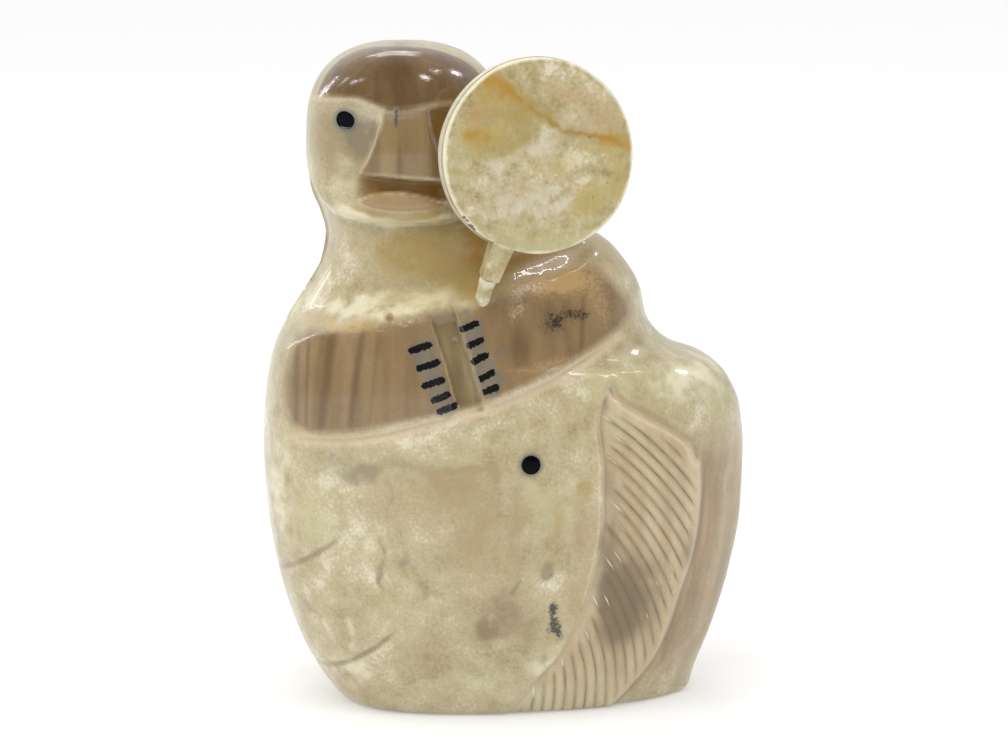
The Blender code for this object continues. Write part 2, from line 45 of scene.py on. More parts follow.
# The uncarved tusk: outlines as (height, position)
tusk = {
    "height": 85.99, "crownStart": 75, "baseEdge": 1.2,
    "leftSide": [(0, -21.4), (3.2, -23.9), (8.6, -26.8), (16.7, -29.4), (24.8, -30.8), (32.8, -31.38),
        (39.5, -31.1), (44.8, -30.3), (50.1, -28.1), (54, -25.7), (57.9, -23.6), (61.5, -23), (64, -23.6),
        (67.1, -24.8), (72.3, -25.4), (76, -25.3), (86, -25.1)],
    "rightSide": [(0, 24.2), (3.2, 25.1), (8.6, 27.2), (16.7, 29.6), (24.8, 31), (32.8, 31.27), (38, 30.8),
        (42.1, 29.1), (44.8, 26), (46.1, 22.3), (48, 19.8), (50.1, 18.5), (54, 17.6), (57.9, 15.3),
        (60.6, 12.5), (61.9, 8.8), (63.2, 3), (64.7, -0.8), (67.5, -0.6), (73, -0.1), (86, -0.4)],
    "front": [(0, -15.2), (4, -17.2), (10, -19.2), (20, -20.6), (32, -20.8), (42, -20.2), (50, -19.2),
        (58, -18.2), (66, -17.6), (76, -17.2), (86, -16.6)],
    "back": [(0, 13.5), (5, 16.4), (15, 18.98), (30, 19.98), (41, 18.8), (50, 15.8), (56, 12.6), (61, 10.6),
        (66, 10.8), (73, 11.8), (86, 11.6)],
    "ridge": [(0, -5), (20, -6), (35, -7), (50, -9), (60, -12.5), (68, -13.2), (86, -13)],
    "waist": [(0, 0), (45, 0), (60, -2), (86, -2.6)], "leftPower": 2.6, "rightPower": 2.05, "backPower": 2.3,
    "crownSidePower": 2.45, "crownFrontPower": 4.5, "crownBackPower": 2.1, "crownLean": 1.5,
    "carvedDepth": 7,
    # mesh rows between heights and mesh columns between angles, closest on the face and the wing
    "underRows": 8, "edgeRows": 6, "crownRows": 20, "crownDense": 84,
    "rows": [(1.2, 12, 22), (12, 22, 26), (22, 58, 116), (58, 75, 58), (75, 84, 31)],
    "columns": [(90, 180, 36), (180, 300, 160), (300, 345, 90), (345, 360, 15), (360, 450, 36)],
    "least": 1e-06,
}

# The carving on the front: places as (x, z)
head = {
    "brow": [(-26, 79), (-21.8, 79.6), (-18.6, 79.6), (-16.1, 78.8), (-13.9, 78.25), (-12.3, 78.35),
        (-8, 78.9), (0, 79.2)],
    # how much of the nose's height is a sharp step, the rest a soft slope
    "noseSideStep": 0.5,
    "jaw": [(-25.5, 70.5), (-24.4, 68), (-22.6, 65.9), (-21.3, 64.9), (-16.8, 64.4), (-8, 64.4), (-3, 65.6),
        (-0.5, 68.5)],
    "noseMiddle": -12.6, "noseHalfWidth": [(69.4, 5.9), (71, 5.1), (76, 3.2), (80, 2.7)], "noseFoot": 70.2,
    "noseFootSlope": -0.09, "noseRootStep": 0.35, "faceDepth": 2.1, "mouthExtra": 0.8,
    "lipTop": [(-18.4, 66.9), (-16.5, 67.8), (-13.4, 68.1), (-10, 67.5), (-6.8, 66.3)],
    "lipFoot": [(-18.4, 66.6), (-16, 65.9), (-12.6, 65.6), (-9, 65.8), (-6.8, 66.2)], "lipDrop": 0.5,
    "nick": [(-13.4, 78.5), (-13.45, 76.5)], "nickWidth": 0.45, "nickDepth": 0.3, "slotFoot": 66.4,
    "slotHalfWidth": 3.8, "lipHalfWidth": 5, "cheekFrom": 6.5, "chinFrom": 72,
}
chest = {
    "top": [(-30, 45.6), (-28, 47.2), (-20, 50.8), (-13, 52.5), (-8, 53.4), (-3, 54.4), (3.3, 56), (7.7, 57),
        (12.2, 58), (18, 59)],
    "foot": [(-30, 38.4), (-28.6, 37.7), (-25.9, 37.3), (-20.7, 37.6), (-15.6, 38.4), (-10.5, 39.7),
        (-5.5, 41), (-0.5, 42.4), (4.5, 44.5), (9.6, 47), (13.5, 49.1), (17, 51)],
    "step": 0.55, "neckDepth": 4.6, "neckRise": 3.2,
    "channel": [(-8.6, 55.4), (-7.1, 50.8), (-5.9, 47.3), (-4.1, 40.8)], "channelWidth": 3.3,
    "channelDepth": 0.8, "ledgeRoughness": 0.16, "ledgeWidth": 1.3, "channelFoot": 39.8,
    "ledgeEnds": (-24, 4), "neckEnd": 6.5, "jawShare": 0.62, "stepEnds": (-30, 9),
}
wing = {
    "bellyEdge": [(0, -0.2), (5.1, 3.8), (8.8, 6.9), (11, 8.1), (15.2, 10.1), (18, 10.8), (22.2, 11.8),
        (26.8, 12.3), (33, 12.3), (38.6, 11.7), (40.8, 12), (44, 13.4)],
    "outerEdge": [(0, 13.4), (3.2, 16.3), (6.2, 18.7), (10.9, 20.9), (15.7, 22.4), (19.7, 23.7),
        (24.2, 24.6), (29.2, 25), (32.7, 24.8), (34.8, 23.9)],
    "shoulder": [(13.2, 44.1), (14.4, 42), (16.2, 40.6), (18.4, 39.2), (21.2, 37.5), (23.9, 35.2),
        (24.8, 33)],
    "shoulderStretches": 24, "depth": 1, "flankDepth": 1.9, "ridge": 0.35, "ridgeWidth": 1.1,
    "grooveDepth": 0.6, "grooveWidth": 0.95, "featherCentre": (-13, 3.5), "featherNear": (14, 1.38),
    "featherFar": (45, 1.24), "featherStart": 1.2, "featherEnd": -0.1, "featherCut": 0.38,
    "featherFlatter": 0.1, "wander": 0.05, "grooveEnds": (13.2, 23.5), "flankTop": 38, "featherLow": 13,
}
creases = {
    "paths": [[(-31, 17.4), (-28.6, 18.4), (-24.7, 21), (-19.4, 25)],
        [(-25, 5.2), (-22.6, 5.9), (-19.7, 7.3), (-16.4, 9.6), (-12.4, 13.3)]],
    "depth": 0.5, "width": 0.7, "fade": 3,
}
pits = {
    # (x, z, radius, depth)
    "places": [(-14.3, 52.6, 0.55, 0.5), (-1.1, 31.6, 0.3, 0.16), (-0.5, 27.7, 0.3, 0.25),
        (2.9, 18.5, 0.22, 0.2), (-6.1, 49.4, 0.3, 0.25), (-0.5, 14.9, 0.2, 0.15), (0.6, 29, 0.25, 0.15),
        (-6.3, 26.9, 0.3, 0.25), (-6.5, 28.3, 0.22, 0.2), (-20, 36.2, 0.25, 0.15), (7.6, 36.4, 0.22, 0.25),
        (10.9, 34.4, 0.2, 0.25)],
}


# Shared curves and noise

def through(points, at):
    # Monotone cubic through (t, value) points: harmonic mean slopes, so it never overshoots
    t, value = np.array(points, float).T
    step = np.diff(t)
    rise = np.diff(value) / step
    slope = np.concatenate([rise[:1], np.zeros(len(t) - 2), rise[-1:]])
    before, after = rise[:-1], rise[1:]
    same = before * after > 0
    first, second = 2 * step[1:] + step[:-1], step[1:] + 2 * step[:-1]
    slope[1:-1][same] = (first + second)[same] / (first / np.where(same, before, 1) +
                                                  second / np.where(same, after, 1))[same]
    at = np.clip(at, t[0], t[-1])
    k = np.clip(np.searchsorted(t, at, side="right") - 1, 0, len(t) - 2)
    s = (at - t[k]) / step[k]
    return ((1 + 2 * s) * (1 - s) ** 2 * value[k] + s * (1 - s) ** 2 * step[k] * slope[k]
            + s * s * (3 - 2 * s) * value[k + 1] + s * s * (s - 1) * step[k] * slope[k + 1])


def ease(t):
    # 0 below 0, 1 above 1, 3t^2 - 2t^3 between
    t = np.clip(t, 0, 1)
    return t * t * (3 - 2 * t)


def pathDistance(path, x, z):
    # Distance from each (x, z) to the nearest of the path's straight stretches
    nearest = np.full(np.shape(x), np.inf)
    for (x0, z0), (x1, z1) in zip(path, path[1:]):
        alongX, alongZ = x1 - x0, z1 - z0
        share = np.clip(((x - x0) * alongX + (z - z0) * alongZ) / (alongX ** 2 + alongZ ** 2), 0, 1)
        nearest = np.minimum(nearest, np.hypot(x - x0 - share * alongX, z - z0 - share * alongZ))
    return nearest


def insideOutline(outline, x, z):
    # Distance to a closed outline, positive inside it (a ray to +X crosses it an odd number of times)
    closed = outline + outline[:1]
    odd = np.zeros(np.shape(x), bool)
    for (x0, z0), (x1, z1) in zip(closed, closed[1:]):
        if z0 != z1:
            crosses = (z0 > z) != (z1 > z)
            odd ^= crosses & (x < x0 + (z - z0) * (x1 - x0) / (z1 - z0))
    return pathDistance(closed, x, z) * np.where(odd, 1.0, -1.0)


def notch(distance, width):
    # V-shaped with softened shoulders: 1 on the line, 0 half a width away
    share = np.clip(1 - 2 * distance / width, 0, 1)
    return share * (1.5 - 0.5 * share)


def speckle(x, z, size, seed):
    # Value noise from -1 to 1: random numbers on a square lattice, eased between its points
    lattice = np.random.default_rng(seed).uniform(-1, 1, (64, 64))
    u, v = x / size, z / size
    column, row = np.floor(u).astype(int), np.floor(v).astype(int)
    s, t = ease(u - column), ease(v - row)
    low = lattice[row % 64, column % 64] * (1 - s) + lattice[row % 64, (column + 1) % 64] * s
    high = lattice[(row + 1) % 64, column % 64] * (1 - s) + lattice[(row + 1) % 64, (column + 1) % 64] * s
    return low * (1 - t) + high * t


def spot(x, z, place, reach):
    # Bell curve: 1 at the place, falling off over the reach in x and in z
    return np.exp(-((x - place[0]) / reach[0]) ** 2 - ((z - place[1]) / reach[1]) ** 2)


def bell(distance, width):
    # exp(-(distance / width)^2): 1 at no distance
    return np.exp(-(distance / width) ** 2)


def glow(path, x, z, width):
    # Bell curve of the distance to a path
    return bell(pathDistance(path, x, z), width)


def fall(t):
    # 1 below 0, 0 above 1
    return 1 - ease(t)


# Carving, as the depth taken off the tusk's own surface at (x, z) on the front

def lipShare(x, z):
    # 1 on the lower lip: between its two edges, and faded at its ends
    share = ease((through(head["lipTop"], x) - z) / 0.45 + 0.5)
    share = share * ease((z - through(head["lipFoot"], x)) / 0.8 + 0.3)
    return share * fall((np.abs(x - head["noseMiddle"]) - head["lipHalfWidth"]) / 1.2)


def noseFoot(x):
    # Height of the nose's lower edge, which slopes a little
    return head["noseFoot"] + head["noseFootSlope"] * (x - head["noseMiddle"] + head["noseHalfWidth"][0][1])


def slotShare(x, z):
    # 1 in the slot between the nose and the lower lip
    offMiddle = np.abs(x - head["noseMiddle"])
    share = fall((offMiddle - head["slotHalfWidth"]) / 3.2) * ease((noseFoot(x) - z) / 0.35)
    return share * ease((z - head["slotFoot"]) / 0.8)


def faceCut(x, z):
    # Sockets and cheeks below the brow, less the raised nose and lip, plus the slot over the lip
    belowBrow = through(head["brow"], x) - z
    offMiddle = np.abs(x - head["noseMiddle"])
    offNose = offMiddle - through(head["noseHalfWidth"], z)
    sharp = head["noseSideStep"]
    nose = 1 - sharp * ease(offNose / 0.45) - (1 - sharp) * ease(offNose / 3.2)
    nose = nose * ease((z - noseFoot(x)) / 0.4)
    lip = lipShare(x, z)
    hollow = head["faceDepth"] * (1 - 0.75 * ease((offMiddle - head["cheekFrom"]) / 6))
    hollow = hollow * (1 - 0.3 * ease((head["chinFrom"] - z) / 6))
    hollow = hollow * (0.5 * ease(belowBrow / 0.7) + 0.5 * ease(belowBrow / 3.2))
    raised = np.maximum(nose, lip * (1 - head["lipDrop"] / head["faceDepth"]))
    face = hollow * (1 - raised) + head["mouthExtra"] * slotShare(x, z) * (1 - lip)
    root = head["noseRootStep"] * nose * ease(belowBrow / 0.8) * fall((77 - z) / 4)
    nick = head["nickDepth"] * notch(pathDistance(head["nick"], x, z), head["nickWidth"])
    return (face + root) * ease((z - through(head["jaw"], x)) / 0.5 + 0.5) + nick


def neckCut(x, z):
    # The hollow between the chest's top edge and the jaw, and the jaw down to the face's level
    aboveChest = ease((z - through(chest["top"], x)) / chest["neckRise"])
    belowJaw = fall((z - through(head["jaw"], x)) / 0.8 + 0.9)
    neck = chest["neckDepth"] * aboveChest * belowJaw * fall((x - chest["neckEnd"]) / 6)
    jawEdge = ease((through(head["jaw"], x) + 0.4 - z) / 0.4)
    return neck + chest["jawShare"] * head["faceDepth"] * aboveChest * (1 - belowJaw) * jawEdge


def chestCut(x, z):
    # The channel down the chest band, and the torn grain along the band's top ledge
    channel = chest["channelDepth"] * fall(offChannel(x, z) / 0.45 + 0.5)
    channel = channel * ease((through(chest["top"], x) + 1.0 - z) / 3)
    channel = channel * ease((z - chest["channelFoot"]) / 2.4)
    tears = 0.6 + 0.8 * speckle(x, z, 0.8, 3) + 0.5 * speckle(x, z, 0.4, 4)
    return channel + chest["ledgeRoughness"] * ledgeShare(x, z) * tears


def offChannel(x, z):
    # Distance outside the channel's edges, negative between them
    return pathDistance(chest["channel"], x, z) - chest["channelWidth"] / 2


def ledgeShare(x, z):
    # 1 along the top ledge of the chest band, faded at its ends
    left, right = chest["ledgeEnds"]
    offLedge = z - through(chest["top"], x)
    return bell(offLedge, chest["ledgeWidth"]) * ease((x - left) / 4) * fall((x - right) / 4)


def wingReach(x, z):
    # How far past the belly's edge, how far below the shoulder line, how far inside the wing's outer edge
    across = np.linspace(wing["shoulder"][0][0], wing["shoulder"][-1][0], wing["shoulderStretches"] + 1)
    line = list(zip(across, through(wing["shoulder"], across)))
    below = np.where(through(wing["shoulder"], x) > z, 1.0, -1.0)
    near = x > wing["shoulder"][0][0] - 3
    below[near] *= pathDistance(line, x[near], z[near])
    below[~near] *= 3
    return x - through(wing["bellyEdge"], z), below, through(wing["outerEdge"], z) - x


def wingShares(x, z):
    # (1 on the wing, 1 on the flank behind it, distance below the shoulder line)
    pastBelly, belowShoulder, inEdge = wingReach(x, z)
    behindBelly = ease(pastBelly / 0.5)
    behindWing = ease(0.15 - inEdge / 0.8) * behindBelly
    onWing = behindBelly * (1 - behindWing) * ease(belowShoulder / 0.5 + 0.3)
    return onWing, behindWing * ease((wing["flankTop"] - z) / 10), belowShoulder


def bellyAndWingCut(x, z):
    # Belly, wing and flank, each a step behind the one before; a groove and a ridge mark the shoulder
    onWing, onFlank, belowShoulder = wingShares(x, z)
    left, right = chest["stepEnds"]
    belowBand = ease((through(chest["foot"], x) - z) / 0.7) * ease((x - left) / 6) * fall((x - right) / 6)
    cut = (chest["step"] * belowBand * (1 - onWing) * (1 - onFlank) + wing["depth"] * onWing
           + wing["flankDepth"] * onFlank)
    ridge = np.clip(1 - np.abs(belowShoulder - 0.7) / wing["ridgeWidth"], 0, 1)
    groove = notch(np.abs(belowShoulder), 2 * wing["grooveWidth"])
    begins, ends = wing["grooveEnds"]
    groove = groove * ease((x - begins) / 1.6) * fall((x - ends) / 2.5)
    return cut - wing["ridge"] * ease(ridge) * onWing + wing["grooveDepth"] * groove * (1 - onWing)


def featherField(x, z):
    # Arcs about one centre whose spacing grows evenly, so the arc's number is a logarithm of the radius;
    # and 1 where the feathers are cut, with starts that step in and out as the tool's did
    (near, spacing), (far, farSpacing) = wing["featherNear"], wing["featherFar"]
    growth = (farSpacing - spacing) / (far - near)
    radius = np.hypot(x - wing["featherCentre"][0], z - wing["featherCentre"][1])
    stretch = np.maximum(1 + (radius - near) * growth / spacing, 0.05)
    number = np.log(stretch) / math.log(1 + growth) + wing["wander"] * speckle(x, z, 5.0, 11)
    line = np.round(number)
    pastBelly, belowShoulder, inEdge = wingReach(x, z)
    ragged = 0.7 * np.sin(line * 2.4) + 0.35 * np.sin(line * 5.3)
    begun = ease((pastBelly - wing["featherStart"] - ragged * ease((z - 8) / 10)) / 1.4)
    kept = begun * ease((inEdge - wing["featherEnd"]) / 1.2) * ease((belowShoulder - 1.2) / 1.2)
    return number, kept * (1 - wing["featherFlatter"] * ease((wing["featherLow"] - z) / 8))


def featherCut(x, z):
    # Rounded feathers with narrower grooves between: depth * ((1 + cos(2 pi number)) / 2)^1.5
    number, kept = featherField(x, z)
    return kept * wing["featherCut"] * (0.5 + 0.5 * np.cos(math.tau * number)) ** 1.5


def creaseCut(x, z):
    # A notch along each crease, fading towards its right end
    cut = np.zeros(np.shape(x))
    for path in creases["paths"]:
        fade = fall((x - path[-1][0] + creases["fade"]) / creases["fade"])
        cut = np.maximum(cut, creases["depth"] * notch(pathDistance(path, x, z), 2 * creases["width"]) * fade)
    return cut


def pitCut(x, z):
    # Bell-shaped pits
    return sum(depth * spot(x, z, (px, pz), (radius, radius)) for px, pz, radius, depth in pits["places"])


def carving(x, z):
    # The large cuts together
    return faceCut(x, z) + neckCut(x, z) + chestCut(x, z) + bellyAndWingCut(x, z) + creaseCut(x, z)


def fineCarving(x, z):
    # The large cuts with the feathers and pits
    return carving(x, z) + featherCut(x, z) + pitCut(x, z)


def halfSpans(z, right):
    # Middle, half width and half depth of the front's section at height z, and its curve's power
    xMid, yMid = through(tusk["ridge"], z), through(tusk["waist"], z)
    halfWidth = np.where(right, through(tusk["rightSide"], z) - xMid, xMid - through(tusk["leftSide"], z))
    power = np.where(right, tusk["rightPower"], tusk["leftPower"])
    return xMid, yMid, halfWidth, yMid - through(tusk["front"], z), power


def frontDepth(x, z):
    # y of the carved front at one place: yMid - halfDepth * (1 - |x / halfWidth|^p)^(1/p) + the carving
    x, z = np.array([float(x)]), np.array([float(z)])
    xMid, yMid, halfWidth, halfDepth, power = halfSpans(z, x > through(tusk["ridge"], z))
    share = (1 - (np.abs(x - xMid) / halfWidth) ** power) ** (1 / power)
    return float((yMid - halfDepth * share + carving(x, z))[0])


# Meshes from grids

def unit(vector):
    # A vector divided by its length
    return np.array(vector) / np.linalg.norm(vector)


def unwrap(values):
    # Rows by columns, whose first and last rows are single points, as one list
    return np.concatenate([values[:1, 0], values[1:-1].reshape(-1, *values.shape[2:]), values[-1:, 0]])


def addObject(name, data):
    # An object in the scene, at the origin
    added = bpy.data.objects.new(name, data)
    bpy.context.scene.collection.objects.link(added)
    return added


def skinMesh(name, grid, attributes, finish, sharpFrom=0):
    # Closes a grid of rows round its columns, with a fan at each end, and turns its faces outwards
    rows, columns = grid.shape[0] - 2, grid.shape[1]
    points = unwrap(grid)
    ring = np.arange(columns)
    after = (ring + 1) % columns
    starts = 1 + np.arange(rows - 1)[:, None] * columns
    quads = np.stack([starts + ring, starts + after, starts + columns + after, starts + columns + ring], -1)
    last = 1 + (rows - 1) * columns
    fans = np.concatenate([np.stack([np.zeros_like(ring), 1 + after, 1 + ring], -1),
                           np.stack([np.full_like(ring, len(points) - 1), last + ring, last + after], -1)])
    quads = quads.reshape(-1, 4)
    a, b, c, d = (points[quads[:, i]] for i in range(4))
    volume = np.einsum("ij,ij->", a, np.cross(b, c)) + np.einsum("ij,ij->", a, np.cross(c, d))
    if volume < 0:
        quads, fans = quads[:, ::-1], fans[:, ::-1]
    mesh = bpy.data.meshes.new(name)
    mesh.vertices.add(len(points))
    mesh.vertices.foreach_set("co", (points * mm).astype(np.float32).ravel())
    corners = np.concatenate([quads.ravel(), fans.ravel()])
    mesh.loops.add(len(corners))
    mesh.loops.foreach_set("vertex_index", corners.astype(np.int32))
    mesh.polygons.add(len(quads) + len(fans))
    firsts = np.concatenate([np.arange(len(quads)) * 4, len(quads) * 4 + np.arange(len(fans)) * 3])
    mesh.polygons.foreach_set("loop_start", firsts.astype(np.int32))
    mesh.update(calc_edges=True)
    mesh.validate()
    for title, values in attributes.items():
        attribute = mesh.attributes.new(title, "FLOAT", "POINT")
        attribute.data.foreach_set("value", unwrap(values).astype(np.float32).ravel())
    mesh.shade_smooth()
    if sharpFrom:
        mesh.set_sharp_from_angle(angle=math.radians(sharpFrom))
    mesh.materials.append(finish)
    return addObject(name, mesh)


# Materials

def srgb(code):
    # Hex code to linear colour, by the sRGB curve
    shares = [int(code[i:i + 2], 16) / 255 for i in (1, 3, 5)]
    return (*(s / 12.92 if s <= 0.04045 else ((s + 0.055) / 1.055) ** 2.4 for s in shares), 1.0)


# What a node is there for: its type and settings, where its values go, and the output that is read
nodeUses = {
    "place": ("TexCoord", {}, (), "Object"),
    "heading": ("TexCoord", {}, (), "Generated"),
    "northing": ("SeparateXYZ", {}, ("Vector",), "Y"),
    "moved": ("Mapping", {}, ("Vector", "Location", "Scale"), "Vector"),
    "lumps": ("TexNoise", {}, ("Vector", "Scale", "Detail", "Roughness"), "Fac"),
    "mask": ("Attribute", {}, ("attribute_name",), "Fac"),
    "minus": ("Math", {"operation": "SUBTRACT"}, (0, 1), 0),
    "times": ("Math", {"operation": "MULTIPLY"}, (0, 1), 0),
    "timesPlus": ("Math", {"operation": "MULTIPLY_ADD"}, (0, 1, 2), 0),
    "fold": ("Math", {"operation": "PINGPONG"}, (0, 1), 0),
    "step": ("MapRange", {"interpolation_type": "SMOOTHSTEP"},
             ("Value", "From Min", "From Max", "To Min", "To Max"), "Result"),
    "mix": ("Mix", {"data_type": "RGBA", "clamp_factor": True}, (0, 6, 7), 2),
    "ramp": ("ValToRGB", {}, ("Fac",), "Color"),
    "bump": ("Bump", {}, ("Strength", "Distance", "Height"), "Normal"),
}


def plug(tree, node, values):
    # Each value to its place: text to a setting, another node's output or a number to a socket
    for key, value in values.items():
        if isinstance(value, str):
            setattr(node, key, value)
        elif isinstance(value, bpy.types.NodeSocket):
            tree.links.new(value, node.inputs[key])
        else:
            node.inputs[key].default_value = value


def addNode(tree, use, *values, stops=()):
    # A node with its settings and links, and its colour stops where it is a ramp
    kind, settings, places, output = nodeUses[use]
    node = tree.nodes.new("ShaderNode" + kind)
    for key, value in settings.items():
        setattr(node, key, value)
    plug(tree, node, dict(zip(places, values)))
    if stops:
        band = node.color_ramp.elements
        while len(band) < len(stops):
            band.new(1.0)
        for element, (position, code) in zip(band, stops):
            element.position = position
            element.color = srgb(code)
    return node.outputs[output]


def newMaterial(name, fixed):
    # A Principled material with its constant values on the shader's own sockets. With it come addNode for its
    # tree and plug for its shader
    finish = bpy.data.materials.new(name)
    finish.use_nodes = True
    tree = finish.node_tree
    shader = tree.nodes["Principled BSDF"]
    plug(tree, shader, fixed)
    return finish, partial(addNode, tree), partial(plug, tree, shader)


grainRoughness = 0.53  # how much weaker each finer octave of the noise is


def grain(add, size, detail, seed, stretch=(1, 1, 1)):
    # Noise whose lumps are about `size` millimetres, drawn out along the axes by `stretch`
    scale = [1 / (size * mm * s) for s in stretch]
    moved = add("moved", add("place"), (seed, seed * 1.7, seed * 0.6), scale)
    return add("lumps", moved, 1.0, detail, grainRoughness)


def sway(add, value, lumps, weight):
    # value + (lumps - 0.5) * weight
    return add("timesPlus", add("minus", lumps, 0.5), weight, value)


def marbledCore(add, finish):
    # The core's colour, a ramp over lumps of three sizes in the finish's shares; and the lumps
    grains = {name: grain(add, *sizes) for name, sizes in finish["grains"].items()}
    broadShare, middleShare, fineShare = finish["shares"]
    pebble = add("timesPlus", grains["broad"], broadShare, add("times", grains["middle"], middleShare))
    return add("ramp", sway(add, pebble, grains["fine"], fineShare), stops=finish["core"]), grains


def paint(add, colour, finish, rows, grains):
    # Lays each row's colour over those before it, as its mask says. A row with two edges is a zone, which the
    # lumps make ragged: mask + (lumps - 0.5) * ragged. Others are stains, which the lumps make patchy:
    # mask * (1 + (lumps - 0.5) * ragged)
    for title, strength, ragged, size, *edges in finish[rows]:
        mask = add("mask", title)
        if edges:
            share = sway(add, mask, grains[size], ragged)
        else:
            share = add("times", mask, sway(add, 1.0, grains[size], ragged))
        low, high = edges or finish["stainEdges"]
        tint = finish[title]
        over = srgb(tint) if isinstance(tint, str) else add("ramp", grains["streaked"], stops=tint)
        colour = add("mix", add("step", share, low, high, 0.0, strength), colour, over)
    return colour


tuskFinish = {
    # lumps in mm, their detail and seed, and how far they are drawn out; the core's shares of the first three
    "grains": {"broad": (9, 4, 1), "middle": (2.4, 3, 2), "fine": (0.4, 2, 3),
               "streaked": (2.4, 2, 4, (1, 1, 11)), "pores": (0.4, 1, 8), "inkEdge": (0.28, 2, 0),
               "scratches": (0.22, 2, 6), "waves": (1.4, 3, 7)},
    "shares": (0.6, 0.4, 0.3), "stainEdges": (0.04, 1.15),
    "roughness": (0.36, 0.15),  # of the core, and of the polished brown layer
    "relief": (0.3, 0.14 * mm),  # strength and depth of the waves, scratches and feather lines
    # from the lowest coat to the topmost: mask and colour, strength, raggedness, by which lumps, and edges
    "coats": [("green", 0.7, 3, "middle"), ("tan", 0.8, 2.4, "middle"), ("pale", 0.85, 3.5, "middle"),
              ("pink", 0.8, 2, "middle"), ("grey", 0.8, 3, "middle"), ("brown", 0.85, 2.6, "middle"),
              ("wingTint", 0.85, 0.3, "middle", 0.1, 0.8), ("cream", 0.85, 2, "middle"),
              ("wingBrown", 0.8, 1.5, "broad"), ("flankTint", 0.95, 1.2, "broad"),
              ("cheek", 0.75, 2.4, "middle"), ("olive", 0.85, 2.4, "middle"), ("ochre", 0.85, 2.6, "middle"),
              ("socket", 0.9, 3, "middle"),
              ("noseZone", 0.95, 0.3, "fine", -0.25, 0.5), ("headZone", 0.97, 0.3, "middle", -0.5, 0.9),
              ("bandZone", 0.96, 0.5, "middle", -0.9, 0.7), ("channel", 0.85, 0.2, "fine", 0.1, 1),
              ("darkStreak", 0.6, 0.4, "broad", 0.1, 1), ("lipTint", 0.8, 0.2, "fine", 0.2, 0.9),
              # rim: pale edges, partly wear and partly painted highlight
              # worn: partly wear, partly a painted highlight on the band's upper right
              ("warm", 0.9, 2, "fine"), ("worn", 0.85, 4, "fine"), ("rim", 0.7, 0.3, "fine", 0.1, 1),
              # hollow: painted shade in the finer cuts
              # the last coat: ochre-brown stain in the mouth slot, with painted shade in the hollow beside
              # the drum
              ("hollow", 0.5, 0.06, "fine", 0.04, 0.4), ("deep", 0.97, 1.2, "middle")],
    "marks": [("smudge", 0.92, 1.8, "fine", 0.3, 1.15), ("halo", 0.75, 0.35, "middle", 0.05, 1.1),
              ("inkStain", 0.5, 3, "middle")],
    "core": [(0.32, "#9d8c62"), (0.44, "#b1a37c"), (0.55, "#c0b38f"), (0.66, "#dcd4b9")],
    "headZone": [(0.3, "#5d4628"), (0.46, "#694f30"), (0.58, "#745a39"), (0.72, "#7f6545")],
    "noseZone": [(0.3, "#7c6342"), (0.5, "#8a724d"), (0.7, "#98815b")],
    "bandZone": [(0.3, "#7d6545"), (0.45, "#876e4c"), (0.58, "#8f7653"), (0.72, "#99805c")],
    "wingTint": [(0.34, "#bba581"), (0.5, "#c4b08c"), (0.66, "#cfbe9b")],
    "flankTint": [(0.34, "#8d7350"), (0.5, "#9a805d"), (0.66, "#ac9470")],
    "channel": [(0.36, "#76684a"), (0.5, "#83744f"), (0.66, "#988a66")],
    "pale": "#e0d9b9", "green": "#b9b284", "tan": "#a38d62", "pink": "#ab9068", "grey": "#8b8062",
    "cream": "#c9c29d", "brown": "#8b7550", "ochre": "#a67c34", "olive": "#aa9052", "wingBrown": "#5f4b2a",
    # rim: pale edges, partly wear and partly painted highlight
    # the first colour: ochre-brown stain, with painted shade in the hollow beside the drum
    "deep": "#8a601c", "lipTint": "#98794f", "socket": "#857860", "cheek": "#988560", "rim": "#dcc8a8",
    # groove: painted shade along the feather grooves
    # hollow: the colour of the painted shade in the finer cuts, and of the pores
    "hollow": "#6b542e", "groove": "#80693f", "smudge": "#1d1a1e", "darkStreak": "#5b452b", "warm": "#c3a371",
    # the last colour is for the painted highlights on the feather grooves
    # worn: partly wear, partly a painted highlight on the band's upper right
    "worn": "#c9b89c", "halo": "#5f6a68", "inkStain": "#667070", "ink": "#020203", "paintedGlint": "#ece6d0",
}


